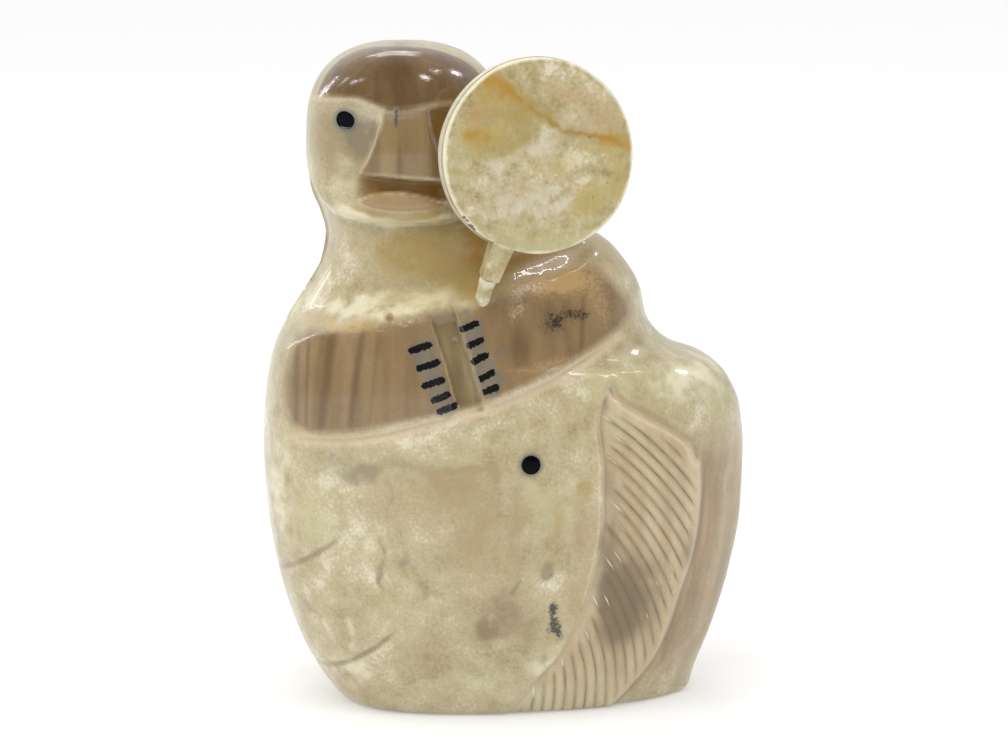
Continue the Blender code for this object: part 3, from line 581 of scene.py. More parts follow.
def tuskMaterial():
    # Fossil walrus ivory, carved, sanded and hand polished: a grainy marbled core that lets a little light
    # in, a streaked brown outer layer left standing where the carver kept it, and a waxed shine
    finish, add, feed = newMaterial("hand polished walrus ivory", {
        "IOR": 1.54, "Metallic": 0.0, "Subsurface Weight": 0.2, "Subsurface Scale": 0.0013,
        "Subsurface Radius": (1.0, 0.6, 0.35), "Coat Weight": 0.4, "Coat Roughness": 0.06, "Coat IOR": 1.5})
    colour, grains = marbledCore(add, tuskFinish)
    middle, fine = grains["middle"], grains["fine"]
    grains["streaked"] = sway(add, sway(add, grains["streaked"], grains["broad"], 0.4), fine, 0.15)
    colour = paint(add, colour, tuskFinish, "coats", grains)
    # painted shade: a dark line along every whole number of feathers and a softer shade across each feather
    # towards it; and a painted highlight where each groove starts
    off = add("fold", add("mask", "featherNumber"), 0.5)
    kept = add("mask", "featherKept")
    line = add("times", add("step", off, 0.0, 0.16, 1.0, 0.0), kept)
    shade = add("times", add("step", off, 0.0, 0.42, 0.25, 0.0), kept)
    dark = add("timesPlus", line, add("step", middle, 0.35, 0.65, 0.0, 0.6), shade)
    colour = add("mix", dark, colour, srgb(tuskFinish["groove"]))
    paintedGlint = add("times", add("mask", "featherGlint"), add("step", off, 0.02, 0.1, 0.9, 0.0))
    paintedGlint = add("times", paintedGlint, add("step", middle, 0.38, 0.56, 0.1, 1.0))
    colour = add("mix", paintedGlint, colour, srgb(tuskFinish["paintedGlint"]))
    colour = paint(add, colour, tuskFinish, "marks", grains)
    pores = add("step", grains["pores"], 0.73, 0.79, 0.0, 0.4)
    colour = add("mix", pores, colour, srgb(tuskFinish["hollow"]))
    inked = add("step", sway(add, add("mask", "ink"), grains["inkEdge"], 0.6), -0.03, 0.05)
    colour = add("mix", inked, colour, srgb(tuskFinish["ink"]))
    # the brown layer is polished most, and the torn ledge is rough
    torn = add("mask", "torn")
    rough = sway(add, add("step", add("mask", "polish"), 0.0, 1.0, *tuskFinish["roughness"]), middle, 0.2)
    height = add("timesPlus", grains["scratches"], 0.35, grains["waves"])
    height = add("timesPlus", add("times", fine, torn), 2.5, height)
    height = add("timesPlus", line, -1.0, height)
    feed({"Base Color": colour, "Roughness": add("timesPlus", torn, 0.3, rough),
          "Normal": add("bump", *tuskFinish["relief"], height)})
    return finish


# The carving

zones = {
    # the head's brown front ends on the crown at these depths, as (x, y)
    "headRim": [(-24, -10.6), (-21.5, -8.9), (-19.6, -8.3), (-17.2, -8.7), (-13.1, -10.4), (-8.6, -9.5),
        (-5.6, -8.4), (-3.1, -7.7), (0, -8)],
    "nose": [(-14.9, 79), (-15.3, 76.2), (-16.4, 73.6), (-17.3, 71.6), (-18.2, 70.4), (-13.4, 70.2),
        (-8.4, 69.7), (-6, 69.6), (-6, 72.5), (-6.2, 75.4), (-6.4, 79)],
    "band": [(-26.4, 49), (-24.6, 50), (-18.5, 51), (-13.6, 52), (-9.7, 52.8), (-6.6, 53.2), (-4.4, 53.5),
        (-1.6, 54.6), (1.4, 55.9), (4.5, 57.3), (7.3, 58.1), (10, 58), (12, 57.3), (13.8, 55.5),
        (15.5, 53.4), (16.1, 51.6), (14.7, 50.1), (11.5, 48.3), (7.8, 46.2), (3.6, 44.4), (-0.9, 42.6),
        (-5.5, 41), (-9.7, 40.2), (-15.3, 39), (-19.9, 38.1), (-24.4, 37.6), (-26.8, 38.3), (-27.7, 40.5),
        (-27.5, 44), (-27.1, 47)],
    "inkBars": [((-11.6, 48.5), (-9.4, 49.2)), ((-10.6, 46.3), (-8.4, 47)), ((-10, 44.1), (-7.8, 44.8)),
        ((-8.8, 42.3), (-7.1, 43)), ((-8, 40.9), (-6.2, 41.6)), ((-5.2, 51.1), (-3.5, 51.8)),
        ((-4.3, 49.1), (-2.9, 49.7)), ((-3.8, 47.1), (-2.3, 47.8)), ((-2.8, 45), (-1.5, 45.7)),
        ((-2.3, 43.3), (-1, 43.9))],
    "inkWidth": 0.45, "inkColumns": [((-10.2, 48.6), (-7.3, 41.4)), ((-4.2, 51), (-1.7, 43.8))],
    "inkSpecks": [(-0.9, 47.9), (-0.6, 48.3), (-0.7, 45.6), (-0.3, 44.9), (-0.9, 43), (-12.3, 50.2),
        (-4.8, 53.2)],
    # dark streaks, as (x at z 44, half width, strength, lean per millimetre up)
    "bandStreaks": [(-26.3, 0.5, 0.7, 0.02), (-24.9, 0.3, 0.7, 0.03), (-22.4, 0.8, 0.9, 0.12),
        (-18.7, 0.6, 0.75, 0.14), (-16.4, 0.5, 0.5, 0.1), (9.6, 0.5, 0.7, 0.05)],
    # and as (x, z, reach across, reach up, strength)
    "headStreaks": [(-13.1, 84, 1.5, 4, 0.9), (-13.1, 80, 1, 3, 0.6), (-13, 72, 0.5, 2.6, 0.9),
        (-18, 82, 1.4, 3, 0.3), (-9.4, 81, 0.9, 3, 0.3), (-21, 81.5, 0.8, 2, 0.3),
        (1.8, 48.6, 1.8, 3.4, 0.8)],
    # hollowByDrum: the eye hollow between the face and the drum, which gets ochre stain and painted shade
    "speckWidth": 0.1, "nickInk": 0.09, "farOutside": 9, "hollowByDrum": ((-7.3, 76.2), (2, 2.8)),
    "noseLine": [(-15.6, 76.4), (-16.1, 74.4), (-17, 72.2), (-18.2, 70.2), (-13.4, 70.1), (-7.2, 69.4)],
}

# Patches of colour as (x, z, reach across, reach up, strength), lines as (path, half width, strength). Most
# are stains; a few, marked below, are painted shade or painted highlight. Their edges are broken up by
# reading them at places that noise has moved
stains = {
    # how far, size of the lumps, seed
    "moved": [(0.9, 3.4, 51), (0.3, 1.1, 53)],
    # marbling that goes on round the back: seeds
    "allRound": {"green": 5, "tan": 3, "pale": 4},
    "patches": {
        # pale: the patch at (-20.5, 71.5) by the nose's lower corner and the one at (-16, 64.8) along the jaw
        # are painted highlights
        "pale": [(-28.5, 28, 2.2, 8, 0.7), (7, 7.5, 3.5, 3, 0.8), (-19.4, 6.5, 3, 2, 0.8),
            (-19, 53.2, 6, 1.4, 1), (-10, 54.6, 5, 1.2, 0.8), (-20.5, 71.5, 1.2, 0.9, 0.8),
            (-16, 64.8, 5, 0.8, 1.5), (-20.5, 68.6, 3, 2, 0.6), (6.3, 31, 2.4, 1.6, 0.5),
            (-17.5, 24.5, 2, 2, 0.6), (-8.5, 17, 2, 2, 0.5), (-27, 56, 3, 6, 0.6), (24, 43, 5, 2.5, 1)],
        "green": [(5.8, 28.2, 3.2, 6, 1), (-24, 27, 4, 5, 0.8), (-14, 14, 5, 5, 0.6), (18, 43, 5, 4, 0.6),
            (13, 42, 3, 6, 0.7), (-4, 5, 8, 3, 0.5), (-6, 33.5, 3, 2, 0.7), (27.5, 38, 2.5, 5, 0.6)],
        "tan": [(-3, 24.3, 4.5, 7.5, 0.9), (-6.8, 32.1, 3, 2.5, 0.9), (-12, 29, 6, 5, 0.6),
            (1.5, 25.5, 1, 7, 0.6), (-10, 10, 5, 3, 0.5), (19.5, 39.5, 3, 1.6, 0.6), (-24.5, 44, 3, 8, 0.4)],
        "pink": [(10.2, 24.3, 1.5, 8, 0.8), (8.8, 14.5, 1.8, 4, 0.6), (0.3, 16.6, 2, 2, 0.8)],
        "grey": [(-18.2, 32.6, 2.4, 1, 1.1), (-13, 21.6, 1.2, 1, 0.8), (5.7, 20.4, 1, 1.3, 1.2),
            (-12.5, 33.8, 7, 1.1, 0.6), (-2.7, 12.4, 1.8, 1.2, 0.9), (-22.5, 34, 3, 2, 0.5)],
        "brown": [(-1, 14.4, 4.4, 3.2, 1), (-3, 12.8, 2.2, 1.8, 0.4), (3.6, 11.4, 1.5, 2.2, 0.5),
            (7, 23, 0.8, 2.5, 0.4)],
        # ochre: the patch at (3.5, 58.6) under the drum is partly stain, partly painted shade from the drum
        "ochre": [(-3.2, 61.5, 2.4, 3.6, 1.1), (3.5, 58.6, 5.5, 1.6, 1.1), (-14.3, 52.8, 1.1, 0.7, 0.9),
            (-22.4, 80.3, 1.6, 1, 0.6), (-8.6, 67.8, 2, 1.5, 0.9), (6.6, 25.6, 0.9, 3, 0.5),
            (27, 14, 1.2, 2.4, 0.5)],
        # olive: the patch at (9, 59.6) under the drum is partly stain, partly painted shade from the drum
        "olive": [(9.8, 30.4, 1.3, 1.7, 0.8), (-7.2, 28.6, 1, 1.8, 0.45), (6.8, 23.6, 1.2, 3, 0.45),
            (-9, 60.2, 5.5, 4.6, 1.1), (-3, 57, 5, 2, 0.9), (-14.5, 60, 3.5, 3.5, 0.6),
            (9, 59.6, 5, 1.2, 0.7)],
        "smudge": [(6, 51.4, 1.2, 1.3, 0.95), (9.4, 51.8, 1.3, 0.8, 0.8), (7.7, 52.2, 1.2, 0.6, 0.6),
            (6.6, 14.6, 0.85, 1, 1.3), (6.4, 12.3, 0.85, 1.2, 1.2), (5.9, 20, 0.9, 1, 0.5)],
        "warm": [(6.6, 57, 4.8, 2.6, 1.8), (-20, 51, 6, 0.8, 0.7), (12.5, 53, 2, 3, 0.5),
            (4.6, 46.2, 5, 0.7, 0.5)],
        "cream": [(5.5, 2, 5.5, 3.6, 1), (13, 2.5, 3, 2.5, 0.6), (15, 38.5, 2.5, 2.2, 0.8),
            (20.5, 33, 3, 3, 0.4), (29, 44, 3, 6, 0.5), (25, 4, 3.5, 3.5, 0.8)],
        # worn: the first patch, on the band's upper right, is a painted highlight
        "worn": [(2.8, 55.6, 2.2, 0.7, 1), (1, 53.2, 1.4, 1.6, 0.5), (-12, 52.2, 2.5, 0.5, 0.6)],
        "wingBrown": [(14.6, 14, 3.2, 6.5, 1.3), (18.5, 16, 2.5, 5, 0.6), (13.4, 23.5, 1.4, 4, 0.6),
            (13, 31, 1, 3, 0.4), (19, 28, 4, 5, 0.25), (24.6, 18, 1.2, 8, 0.6)],
        "cheek": [(-22.5, 75.8, 4, 4.5, 1), (-21.5, 71.5, 3.5, 3, 0.4)],
        "socket": [(-17.6, 76, 2.2, 2.4, 1.1), (-18.6, 73.2, 2, 2.2, 0.6)],
    },
    "lines": {
        "ochre": [([(2.7, 15.2), (5.4, 14.3)], 0.15, 0.6)],
        "tan": [([(-6.2, 33.8), (-2.2, 33.2), (-1.2, 31.5)], 0.4, 0.7)],
        "grey": [([(-16, 24.8), (-15.5, 22), (-15.9, 18.4)], 0.4, 1), ([(1.9, 19.4), (1.5, 16.8)], 0.22, 1),
            ([(-14.6, 32), (-14.4, 26)], 0.3, 0.5), ([(-26, 15.5), (-24.8, 12.8)], 0.3, 0.6)],
        # the first pale line, along the jaw under the lip, is a painted highlight
        "pale": [([(-20.5, 65.6), (-16, 64.9), (-11, 64.7), (-6, 65.2)], 0.6, 1),
            ([(-19.6, 14), (-19.8, 9.5)], 0.5, 0.7), ([(-22.5, 20.8), (-19.6, 23.4)], 0.6, 0.5)],
        # the first olive line, under the lower lip, is painted shade
        "olive": [([(-18.2, 66.2), (-12.6, 65.5), (-8, 65.9)], 0.45, 0.8),
            ([(-7.5, 57), (-3.5, 55.8)], 0.8, 0.6)],
    },
}


def stainShare(table, kind, x, z):
    # Sum of a kind's patches and lines, read at places that noise has moved
    movedX, movedZ = x, z
    for far, lumps, seed in table["moved"]:
        movedX = movedX + far * speckle(x, z, lumps, seed)
        movedZ = movedZ + far * speckle(x, z, lumps, seed + 1)
    share = np.zeros(x.shape)
    for px, pz, reachX, reachZ, strength in table["patches"].get(kind, ()):
        share += strength * spot(movedX, movedZ, (px, pz), (reachX, reachZ))
    for path, width, strength in table["lines"].get(kind, ()):
        share += strength * glow(path, movedX, movedZ, width)
    return share


def stretches(parts):
    # Evenly spaced values through (from, to, count) parts, each without its last end
    return np.concatenate([np.linspace(a, b, n, endpoint=False) for a, b, n in parts])


def tuskGrid():
    # Sections stacked up the tusk. Each is four quarters of a superellipse about the ridge and the waist,
    # reach = (|cos / halfWidth|^p + |sin / halfDepth|^p)^(-1/p); the crown closes it by the same kind of
    # curve, and the front is then cut back by the carving
    edge, start, top = tusk["baseEdge"], tusk["crownStart"], tusk["height"]
    rounding = edge * (1 - np.cos(stretches([(0, math.pi / 2, tusk["edgeRows"])])))
    heights = np.concatenate([rounding, stretches(tusk["rows"])])
    rise = np.clip((heights - start) / (top - start), 0, 1)
    denseRise = (tusk["crownDense"] - start) / (top - start)
    lastTurn = math.asin(denseRise ** (tusk["crownSidePower"] / 2))
    turns = np.linspace(lastTurn, math.pi / 2, tusk["crownRows"])
    rise = np.concatenate([rise, np.sin(turns) ** (2 / tusk["crownSidePower"])])
    heights = np.concatenate([heights, start + (top - start) * rise[len(heights):]])
    angle, z = np.meshgrid(np.radians(stretches(tusk["columns"])), heights)
    rise = np.repeat(rise[:, None], angle.shape[1], 1)
    cos, sin = np.cos(angle), np.sin(angle)
    sideShare, frontShare, backShare = (np.clip(1 - rise ** tusk[p], 0, 1) ** (1 / tusk[p])
                                        for p in ("crownSidePower", "crownFrontPower", "crownBackPower"))
    xMid, yMid, halfWidth, halfDepth, power = halfSpans(z, cos > 0)
    inset = edge - np.sqrt(np.clip(edge ** 2 - np.clip(edge - z, 0, edge) ** 2, 0, None))
    halfDepth = np.where(sin > 0, through(tusk["back"], z) - yMid, halfDepth)
    power = np.where(sin > 0, tusk["backPower"], power)
    halfWidth = np.maximum((halfWidth - inset) * sideShare, tusk["least"])
    halfDepth = np.maximum((halfDepth - inset) * np.where(sin > 0, backShare, frontShare), tusk["least"])
    reach = (np.abs(cos / halfWidth) ** power + np.abs(sin / halfDepth) ** power) ** (-1 / power)
    x, y = xMid + reach * cos, yMid + reach * sin
    front = ease((yMid - y) / tusk["carvedDepth"]) * ease((top - 0.5 - z) / 3)
    behind = y - yMid
    y = y - tusk["crownLean"] * rise ** 3 * (1 - frontShare)
    return x, y + front * fineCarving(x, z), z, front, behind


def blurred(values, cells):
    # Mean over a square of cells, wrapping round the columns
    across = sum(np.roll(values, shift, 1) for shift in range(-cells, cells + 1))
    padded = np.pad(across, ((cells, cells), (0, 0)), mode="edge")
    return sum(padded[shift:shift + len(values)] for shift in range(2 * cells + 1)) / (2 * cells + 1) ** 2


def featherPaintedGlints(number, pastBelly, inEdge, z):
    # Painted highlights where some of the feather grooves start, and a second row near the low feathers' ends
    line = np.round(number)
    ragged = 0.8 * np.sin(line * 2.4)
    starts = bell(pastBelly - 2.2 - ragged, 0.6) * ease(np.sin(line * 4.1) * 2 + 1.2)
    ends = bell(inEdge - 2.6 - ragged, 0.6) * ease((24 - z) / 4) * ease((z - 7) / 4)
    return starts + 0.8 * ends * ease(np.sin(line * 3.3) * 3)


def inkAndHalo(x, z):
    # Distance inside the ink bars and specks, and bell curves of the distance to bars, bar columns and eyes
    bars = np.max([zones["inkWidth"] - pathDistance(bar, x, z) for bar in zones["inkBars"]], 0)
    specks = np.max([zones["speckWidth"] - np.hypot(x - px, z - pz) for px, pz in zones["inkSpecks"]], 0)
    bars = np.maximum(bars, specks)
    columns = [bell(np.maximum(pathDistance(column, x, z) - 0.9, 0), 0.6) for column in zones["inkColumns"]]
    stain = np.maximum(np.max(columns, 0), 0.8 * bell(np.minimum(bars, 0), 0.45))
    rings = [bell(np.hypot(x - px, z - pz) - 1.1, 0.6) for px, pz in inlay["places"].values()]
    nick = pathDistance(head["nick"], x, z)
    halo = np.maximum(np.max(rings, 0), 1.1 * bell(nick, 0.2))
    return np.maximum(bars, zones["nickInk"] - nick), stain, halo


def edgeWearAndHighlightShare(x, z, onWing, pastBelly, belowShoulder, inBand):
    # Pale edges, partly rubbed wear and partly painted highlight: brow, nose, lip, channel, the band's foot,
    # the belly's edge and the wing's ridge
    brow = bell(z - through(head["brow"], x) + 0.15, 0.5) * (x < 0)
    bandFoot = bell(through(chest["foot"], x) - 0.9 - z, 1.0) * ease((x + 29) / 3) * fall((x - 14) / 3)
    bellyEdge = bell(pastBelly + 0.2, 0.22) * ease((z - 13) / 4) * ease((42 - z) / 4)
    return (brow * (0.6 - 0.3 * spot(x, z, (-12.6, 78.3), (3.0, 2.0)))
            + 0.7 * glow(zones["noseLine"], x, z, 0.16) + 0.8 * glow(head["lipTop"], x, z, 0.14)
            + 0.6 * bell(offChannel(x, z), 0.2) * inBand + 0.9 * bandFoot + 0.7 * bellyEdge
            + 0.9 * bell(belowShoulder - 0.75, 0.3) * onWing)


def flankShare(x, z, inEdge, behind):
    # The brown flank behind the wing, with a darker strip just behind the wing's outer edge that is painted
    # shadow of that edge, fading into broad streaks on the back
    flank = ease(0.3 - inEdge / 1.2) * ease((z + 1) / 3) * ease((41 - z + 0.4 * (x - 25)) / 12)
    flank = flank * (0.75 + 0.35 * bell(inEdge + 1.2, 1.4)) * (1 - 0.6 * ease((9 - z) / 8))
    backStreak = ease(0.35 + 0.6 * speckle(x * 2.2, z * 0.25, 9.0, 31))
    return np.maximum(flank * fall(behind / 5), backStreak * ease((behind - 2) / 6) * 0.9)


def tuskMasks(x, y, z, front, behind):
    # Where each colour lies: distances in millimetres inside the brown zones and the ink, shares elsewhere
    ahead = ease(0.5 - behind / 6)
    hidden = zones["farOutside"] * (1 - ahead)
    onWing, onFlank, belowShoulder = wingShares(x, z)
    pastBelly, inEdge = wingReach(x, z)[::2]
    number, kept = featherField(x, z)
    ink, inkStain, halo = inkAndHalo(x, z)
    masks = {kind: stainShare(stains, kind, x, z) * ahead for kind in stains["patches"]}
    for kind, seed in stains["allRound"].items():
        masks[kind] += (1 - ahead) * np.clip(0.8 * speckle(x + 3 * y, z, 7.0, seed), 0, 1)
        masks[kind] *= 1 - 0.9 * onWing - 0.5 * onFlank
    # painted shade in the groove above the wing's shoulder ridge, laid with the tan colour
    shoulderGrooveShade = bell(belowShoulder + 0.15, 0.4) * ease((x - wing["grooveEnds"][0]) / 1.2)
    masks["tan"] += 1.2 * shoulderGrooveShade * (1 - 0.5 * ease((x - 19) / 4)) * ahead
    masks["headZone"] = np.minimum(z - through(head["brow"], x) - 0.1, through(zones["headRim"], x) - y)
    masks["noseZone"] = insideOutline(zones["nose"], x, z) - hidden
    masks["bandZone"] = insideOutline(zones["band"], x, z) - hidden
    inBand = ease(masks["bandZone"] / 1.5 + 0.3)
    streaks = sum(strength * bell(x - px - lean * (z - 44), width)
                  for px, width, strength, lean in zones["bandStreaks"])
    headStreaks = sum(strength * spot(x, z, (px, pz), (wide, high))
                      for px, pz, wide, high, strength in zones["headStreaks"])
    # painted shade: darker where the finer cuts lie deeper than what is round them
    fineCuts = front * (bellyAndWingCut(x, z) + featherCut(x, z) + creaseCut(x, z) + pitCut(x, z)
                        + chestCut(x, z) + 0.2 * faceCut(x, z))
    channel = ease(0.6 - offChannel(x, z) / 0.5) * ease((through(chest["top"], x) - z) / 2.4)
    # the deepest ochre-brown: stain in the mouth slot, and in the eye hollow beside the drum partly stain and
    # partly painted shade
    deep = slotShare(x, z) * (1 - lipShare(x, z)) + 1.4 * spot(x, z, *zones["hollowByDrum"])
    masks["channel"] = channel * ease((z - 39.9) / 2.0) * ahead
    masks.update({
        "featherNumber": number, "featherKept": kept * onWing * ahead,
        # painted highlights on the feather grooves
        "featherGlint": featherPaintedGlints(number, pastBelly, inEdge, z) * onWing * ahead,
        "ink": ink - hidden, "inkStain": inkStain * ahead * (1 - masks["channel"]), "halo": halo * ahead,
        # hollow: painted shade in the finer cuts
        "hollow": fineCuts - blurred(fineCuts, 4), "darkStreak": (streaks * inBand + headStreaks) * ahead,
        "deep": deep * ahead, "lipTint": lipShare(x, z) * ahead, "wingTint": onWing * ahead,
        # rim: pale edges, partly wear and partly painted highlight
        "rim": edgeWearAndHighlightShare(x, z, onWing, pastBelly, belowShoulder, inBand) * ahead,
        "flankTint": flankShare(x, z, inEdge, behind), "torn": ledgeShare(x, z) * ahead,
        "polish": np.clip(ease(masks["headZone"] + 0.4) + ease(masks["noseZone"] + 0.4) + inBand, 0, 1)})
    return masks


def tuskCarving():
    # The carved skin, closed by the sawn underside, whose rings are drawn in to the middle
    x, y, z, front, behind = tuskGrid()
    masks = tuskMasks(x, y, z, front, behind)
    rows = tusk["underRows"]
    shares = np.linspace(0, 1, rows, endpoint=False)[:, None]
    middleX, middleY = x[0].mean(), y[0].mean()
    under = np.stack([middleX + shares * (x[0] - middleX), middleY + shares * (y[0] - middleY),
                      np.zeros((rows, x.shape[1]))], -1)
    grid = np.concatenate([under, np.stack([x, y, z], -1)])
    grid[-1] = grid[-1].mean(0)
    masks = {title: np.concatenate([np.repeat(values[:1], rows, 0), values])
             for title, values in masks.items()}
    return skinMesh("tuskCarving", grid, masks, tuskMaterial())


# The black inlays

inlay = {
    "diameter": 2.4, "depth": 2.8, "stand": 0.2, "bevel": 0.14, "dome": 0.1, "columns": 64,
    "places": {
        "eyeInlayRight": (-19.9, 76.9), "eyeInlayLeft": (-5.3, 76.9), "bellyEyeInlay": (3.4, 33.9),
    },
    "nodes": {
        "eyeInlayRight": "eye_inlay_right", "eyeInlayLeft": "eye_inlay_left",
        "bellyEyeInlay": "belly_eye_inlay",
    },
    "flatRows": 8, "edgeRows": 6, "sharpFrom": 50,
}


def inlayMaterial():
    # Black baleen plugs, filed and polished: near black with a soft shine and fine file marks
    finish, add, feed = newMaterial("polished black baleen", {
        "IOR": 1.5, "Metallic": 0.0, "Specular IOR Level": 0.08})
    worn = grain(add, 0.5, 4.0, 0.0)
    colour = add("mix", add("step", worn, 0.45, 0.8), srgb("#040508"), srgb("#0d0e12"))
    feed({"Base Color": colour, "Roughness": add("step", worn, 0.3, 0.75, 0.2, 0.4),
          "Normal": add("bump", 0.15, 0.04 * mm, worn)})
    return finish


def eyeInlay(name, at, finish):
    # A turned plug: a shallow dome, a quarter-round edge and a straight side, along the front's normal
    x, z = at
    span, bevel, flatRows = inlay["diameter"] / 2, inlay["bevel"], inlay["flatRows"]
    slopeX = (frontDepth(x + span, z) - frontDepth(x - span, z)) / (2 * span)
    slopeZ = (frontDepth(x, z + span) - frontDepth(x, z - span)) / (2 * span)
    out = unit((slopeX, -1.0, slopeZ))
    side = unit(np.cross(out, (0.0, 0.0, 1.0)))
    up = np.cross(side, out)
    middle = np.array([x, frontDepth(x, z), z])
    top = inlay["stand"]
    turn = np.linspace(0, math.pi / 2, inlay["edgeRows"] + 1)[1:]
    flat = np.linspace(0, span - bevel, flatRows)
    radius = np.concatenate([flat, span - bevel + bevel * np.sin(turn), [span, 0]])
    lift = np.concatenate([np.full(flatRows, top), top - bevel * (1 - np.cos(turn)), [-inlay["depth"]] * 2])
    lift[:flatRows] += inlay["dome"] * (1 - (flat / flat[-1]) ** 2) - inlay["dome"]
    around = np.linspace(0, math.tau, inlay["columns"], endpoint=False)
    ring = np.cos(around)[:, None] * side + np.sin(around)[:, None] * up
    grid = middle + radius[:, None, None] * ring + lift[:, None, None] * out
    return skinMesh(name, grid, {}, finish, inlay["sharpFrom"])


# The paddle drum

drum = {
    "diameter": 24.7, "thickness": 3.4, "lip": 0.4, "lineWidth": 0.4, "lineDepth": 0.18, "land": 0.3,
    "turn": 15, "tilt": 3, "gripAngle": 22.5, "gripLength": 4.1, "gripWidth": 2.2, "gripFlare": 1.3,
    "gripThickness": 2.4, "gripBevel": 0.4, "gripEnd": (-1.9, -19, 57.6), "pegDiameter": 2, "pegSeat": 2.2,
    "pegFoot": (-2.6, 55), "gap": 0.15, "faceInset": 0.02, "faceRows": 56, "backStep": 2,
    "columns": [(0, 20, 90), (20, 340, 300), (340, 360, 90)], "handCut": 0.18, "bevelRows": 4,
    "outwardRows": 16, "sideRows": 8, "pegColumns": 72, "pegRows": 60, "pegPastJoint": 2.5,
    "glueSwell": 0.12, "sharpFrom": 42,
}


def drumAxes():
    # (right, up, out) of the drum's face, the grip's direction, and the disc's middle
    turn, tilt, lean = (math.radians(drum[key]) for key in ("turn", "tilt", "gripAngle"))
    out = np.array([math.sin(turn) * math.cos(tilt), -math.cos(turn) * math.cos(tilt), math.sin(tilt)])
    right = np.array([math.cos(turn), math.sin(turn), 0.0])
    up = np.cross(out, right)
    grip = -math.sin(lean) * right - math.cos(lean) * up
    middle = np.array(drum["gripEnd"]) - grip * (drum["diameter"] / 2 + drum["gripLength"])
    return right, up, out, grip, middle


def pegAxis():
    # (foot on the chest, unit direction up to the grip, normal of the joint between them)
    x, z = drum["pegFoot"]
    foot = np.array([x, frontDepth(x, z), z])
    along = unit(np.array(drum["gripEnd"]) - foot)
    return foot, along, unit(along - drumAxes()[3])


def drumSection(off, reach, rim, onGrip):
    # Rows of the section in every direction, as (distance from the middle, height over the middle plane)
    front, lip = drum["thickness"] / 2 - drum["faceInset"], drum["lip"]
    half, bevel = drum["gripThickness"] / 2, drum["gripBevel"]
    lineTop = front - lip - drum["land"]
    lineFoot = lineTop - drum["lineWidth"]
    quarter = np.linspace(0, math.pi / 2, drum["bevelRows"] + 1)[1:]
    face = [((rim - lip) * share, np.full(off.shape, front)) for share in np.linspace(0, 1, drum["faceRows"])]
    edge = [(rim - lip * (1 - math.sin(a)), np.full(off.shape, front - lip * (1 - math.cos(a))))
            for a in quarter]
    line = []
    for inset, height in ((0, lineTop), (0.7, lineTop - 0.1), (1, (lineTop + lineFoot) / 2),
                          (0.7, lineFoot + 0.1), (0, lineFoot)):
        level = height + (np.maximum(height, half + 0.02) - height) * onGrip
        line.append((rim - inset * drum["lineDepth"] * (1 - onGrip), level))
    outward = []
    for share in np.linspace(0.06, 1, drum["outwardRows"]):
        level = (lineFoot - 0.05) * (1 - share) + (half - bevel) * share
        outward.append((rim + np.maximum(reach - bevel * onGrip - rim, 0) * ease(share),
                        half * onGrip + level * (1 - onGrip)))
    for a in quarter:
        level = half - bevel + bevel * math.cos(a) * onGrip
        outward.append((reach - bevel * (1 - math.sin(a)) * onGrip, level - 0.012 * a * (1 - onGrip)))
    sideTop = half - bevel - 0.1
    side = [(reach, np.full(off.shape, height))
            for height in np.linspace(-sideTop, sideTop, drum["sideRows"])]
    back = [(far, -height) for far, height in face[::drum["backStep"]] + edge + outward]
    rows = face + edge + line + outward + side[::-1] + back[::-1]
    return np.stack([far for far, height in rows]), np.stack([height for far, height in rows])


def drumGrid():
    # In the grip's directions a ray ends at halfWidth / sin(angle off the grip's axis) or at the cut end,
    # elsewhere at the rim, which the hand saw left a little uneven
    right, up, out, grip, middle = drumAxes()
    radius = drum["diameter"] / 2
    off = np.radians(stretches(drum["columns"]))
    off = np.where(off > math.pi, off - math.tau, off)
    endWidth, rimWidth = drum["gripWidth"] / 2, drum["gripWidth"] * drum["gripFlare"] / 2
    overhang = drum["gripLength"] + drum["pegDiameter"]
    reach = np.full(off.shape, radius)
    for _ in range(6):
        along = reach * np.cos(off)
        width = rimWidth + (endWidth - rimWidth) * np.clip((along - radius) / overhang, 0, 1)
        reach = np.clip(width / np.maximum(np.abs(np.sin(off)), 1e-6), radius, radius + overhang)
        reach = np.where(np.abs(off) < math.pi / 2, reach, radius)
    onGrip = ease((reach - radius) / 0.25)
    hand = drum["handCut"] * (0.5 + 0.3 * np.sin(off * 3 + 0.7) + 0.2 * np.sin(off * 7 + 2.0)) * (1 - onGrip)
    rim = radius - hand
    rho, height = drumSection(off, np.maximum(reach, rim), rim, onGrip)
    # the mitred end: no point passes the joint's plane
    joint = pegAxis()[2]
    side = np.cross(out, grip)
    ray = np.cos(off)[None, :, None] * grip + np.sin(off)[None, :, None] * side
    points = middle + rho[..., None] * ray + height[..., None] * out
    endPoint = np.array(drum["gripEnd"]) + joint * drum["gap"] / 2
    past = (points - endPoint) @ joint
    shift = np.where((past < 0) & (rho > radius + 0.5), past / np.minimum(ray @ joint, -1e-3), 0)
    points = points - shift[..., None] * ray
    return points, (points - middle) @ right, (points - middle) @ up, rho, height


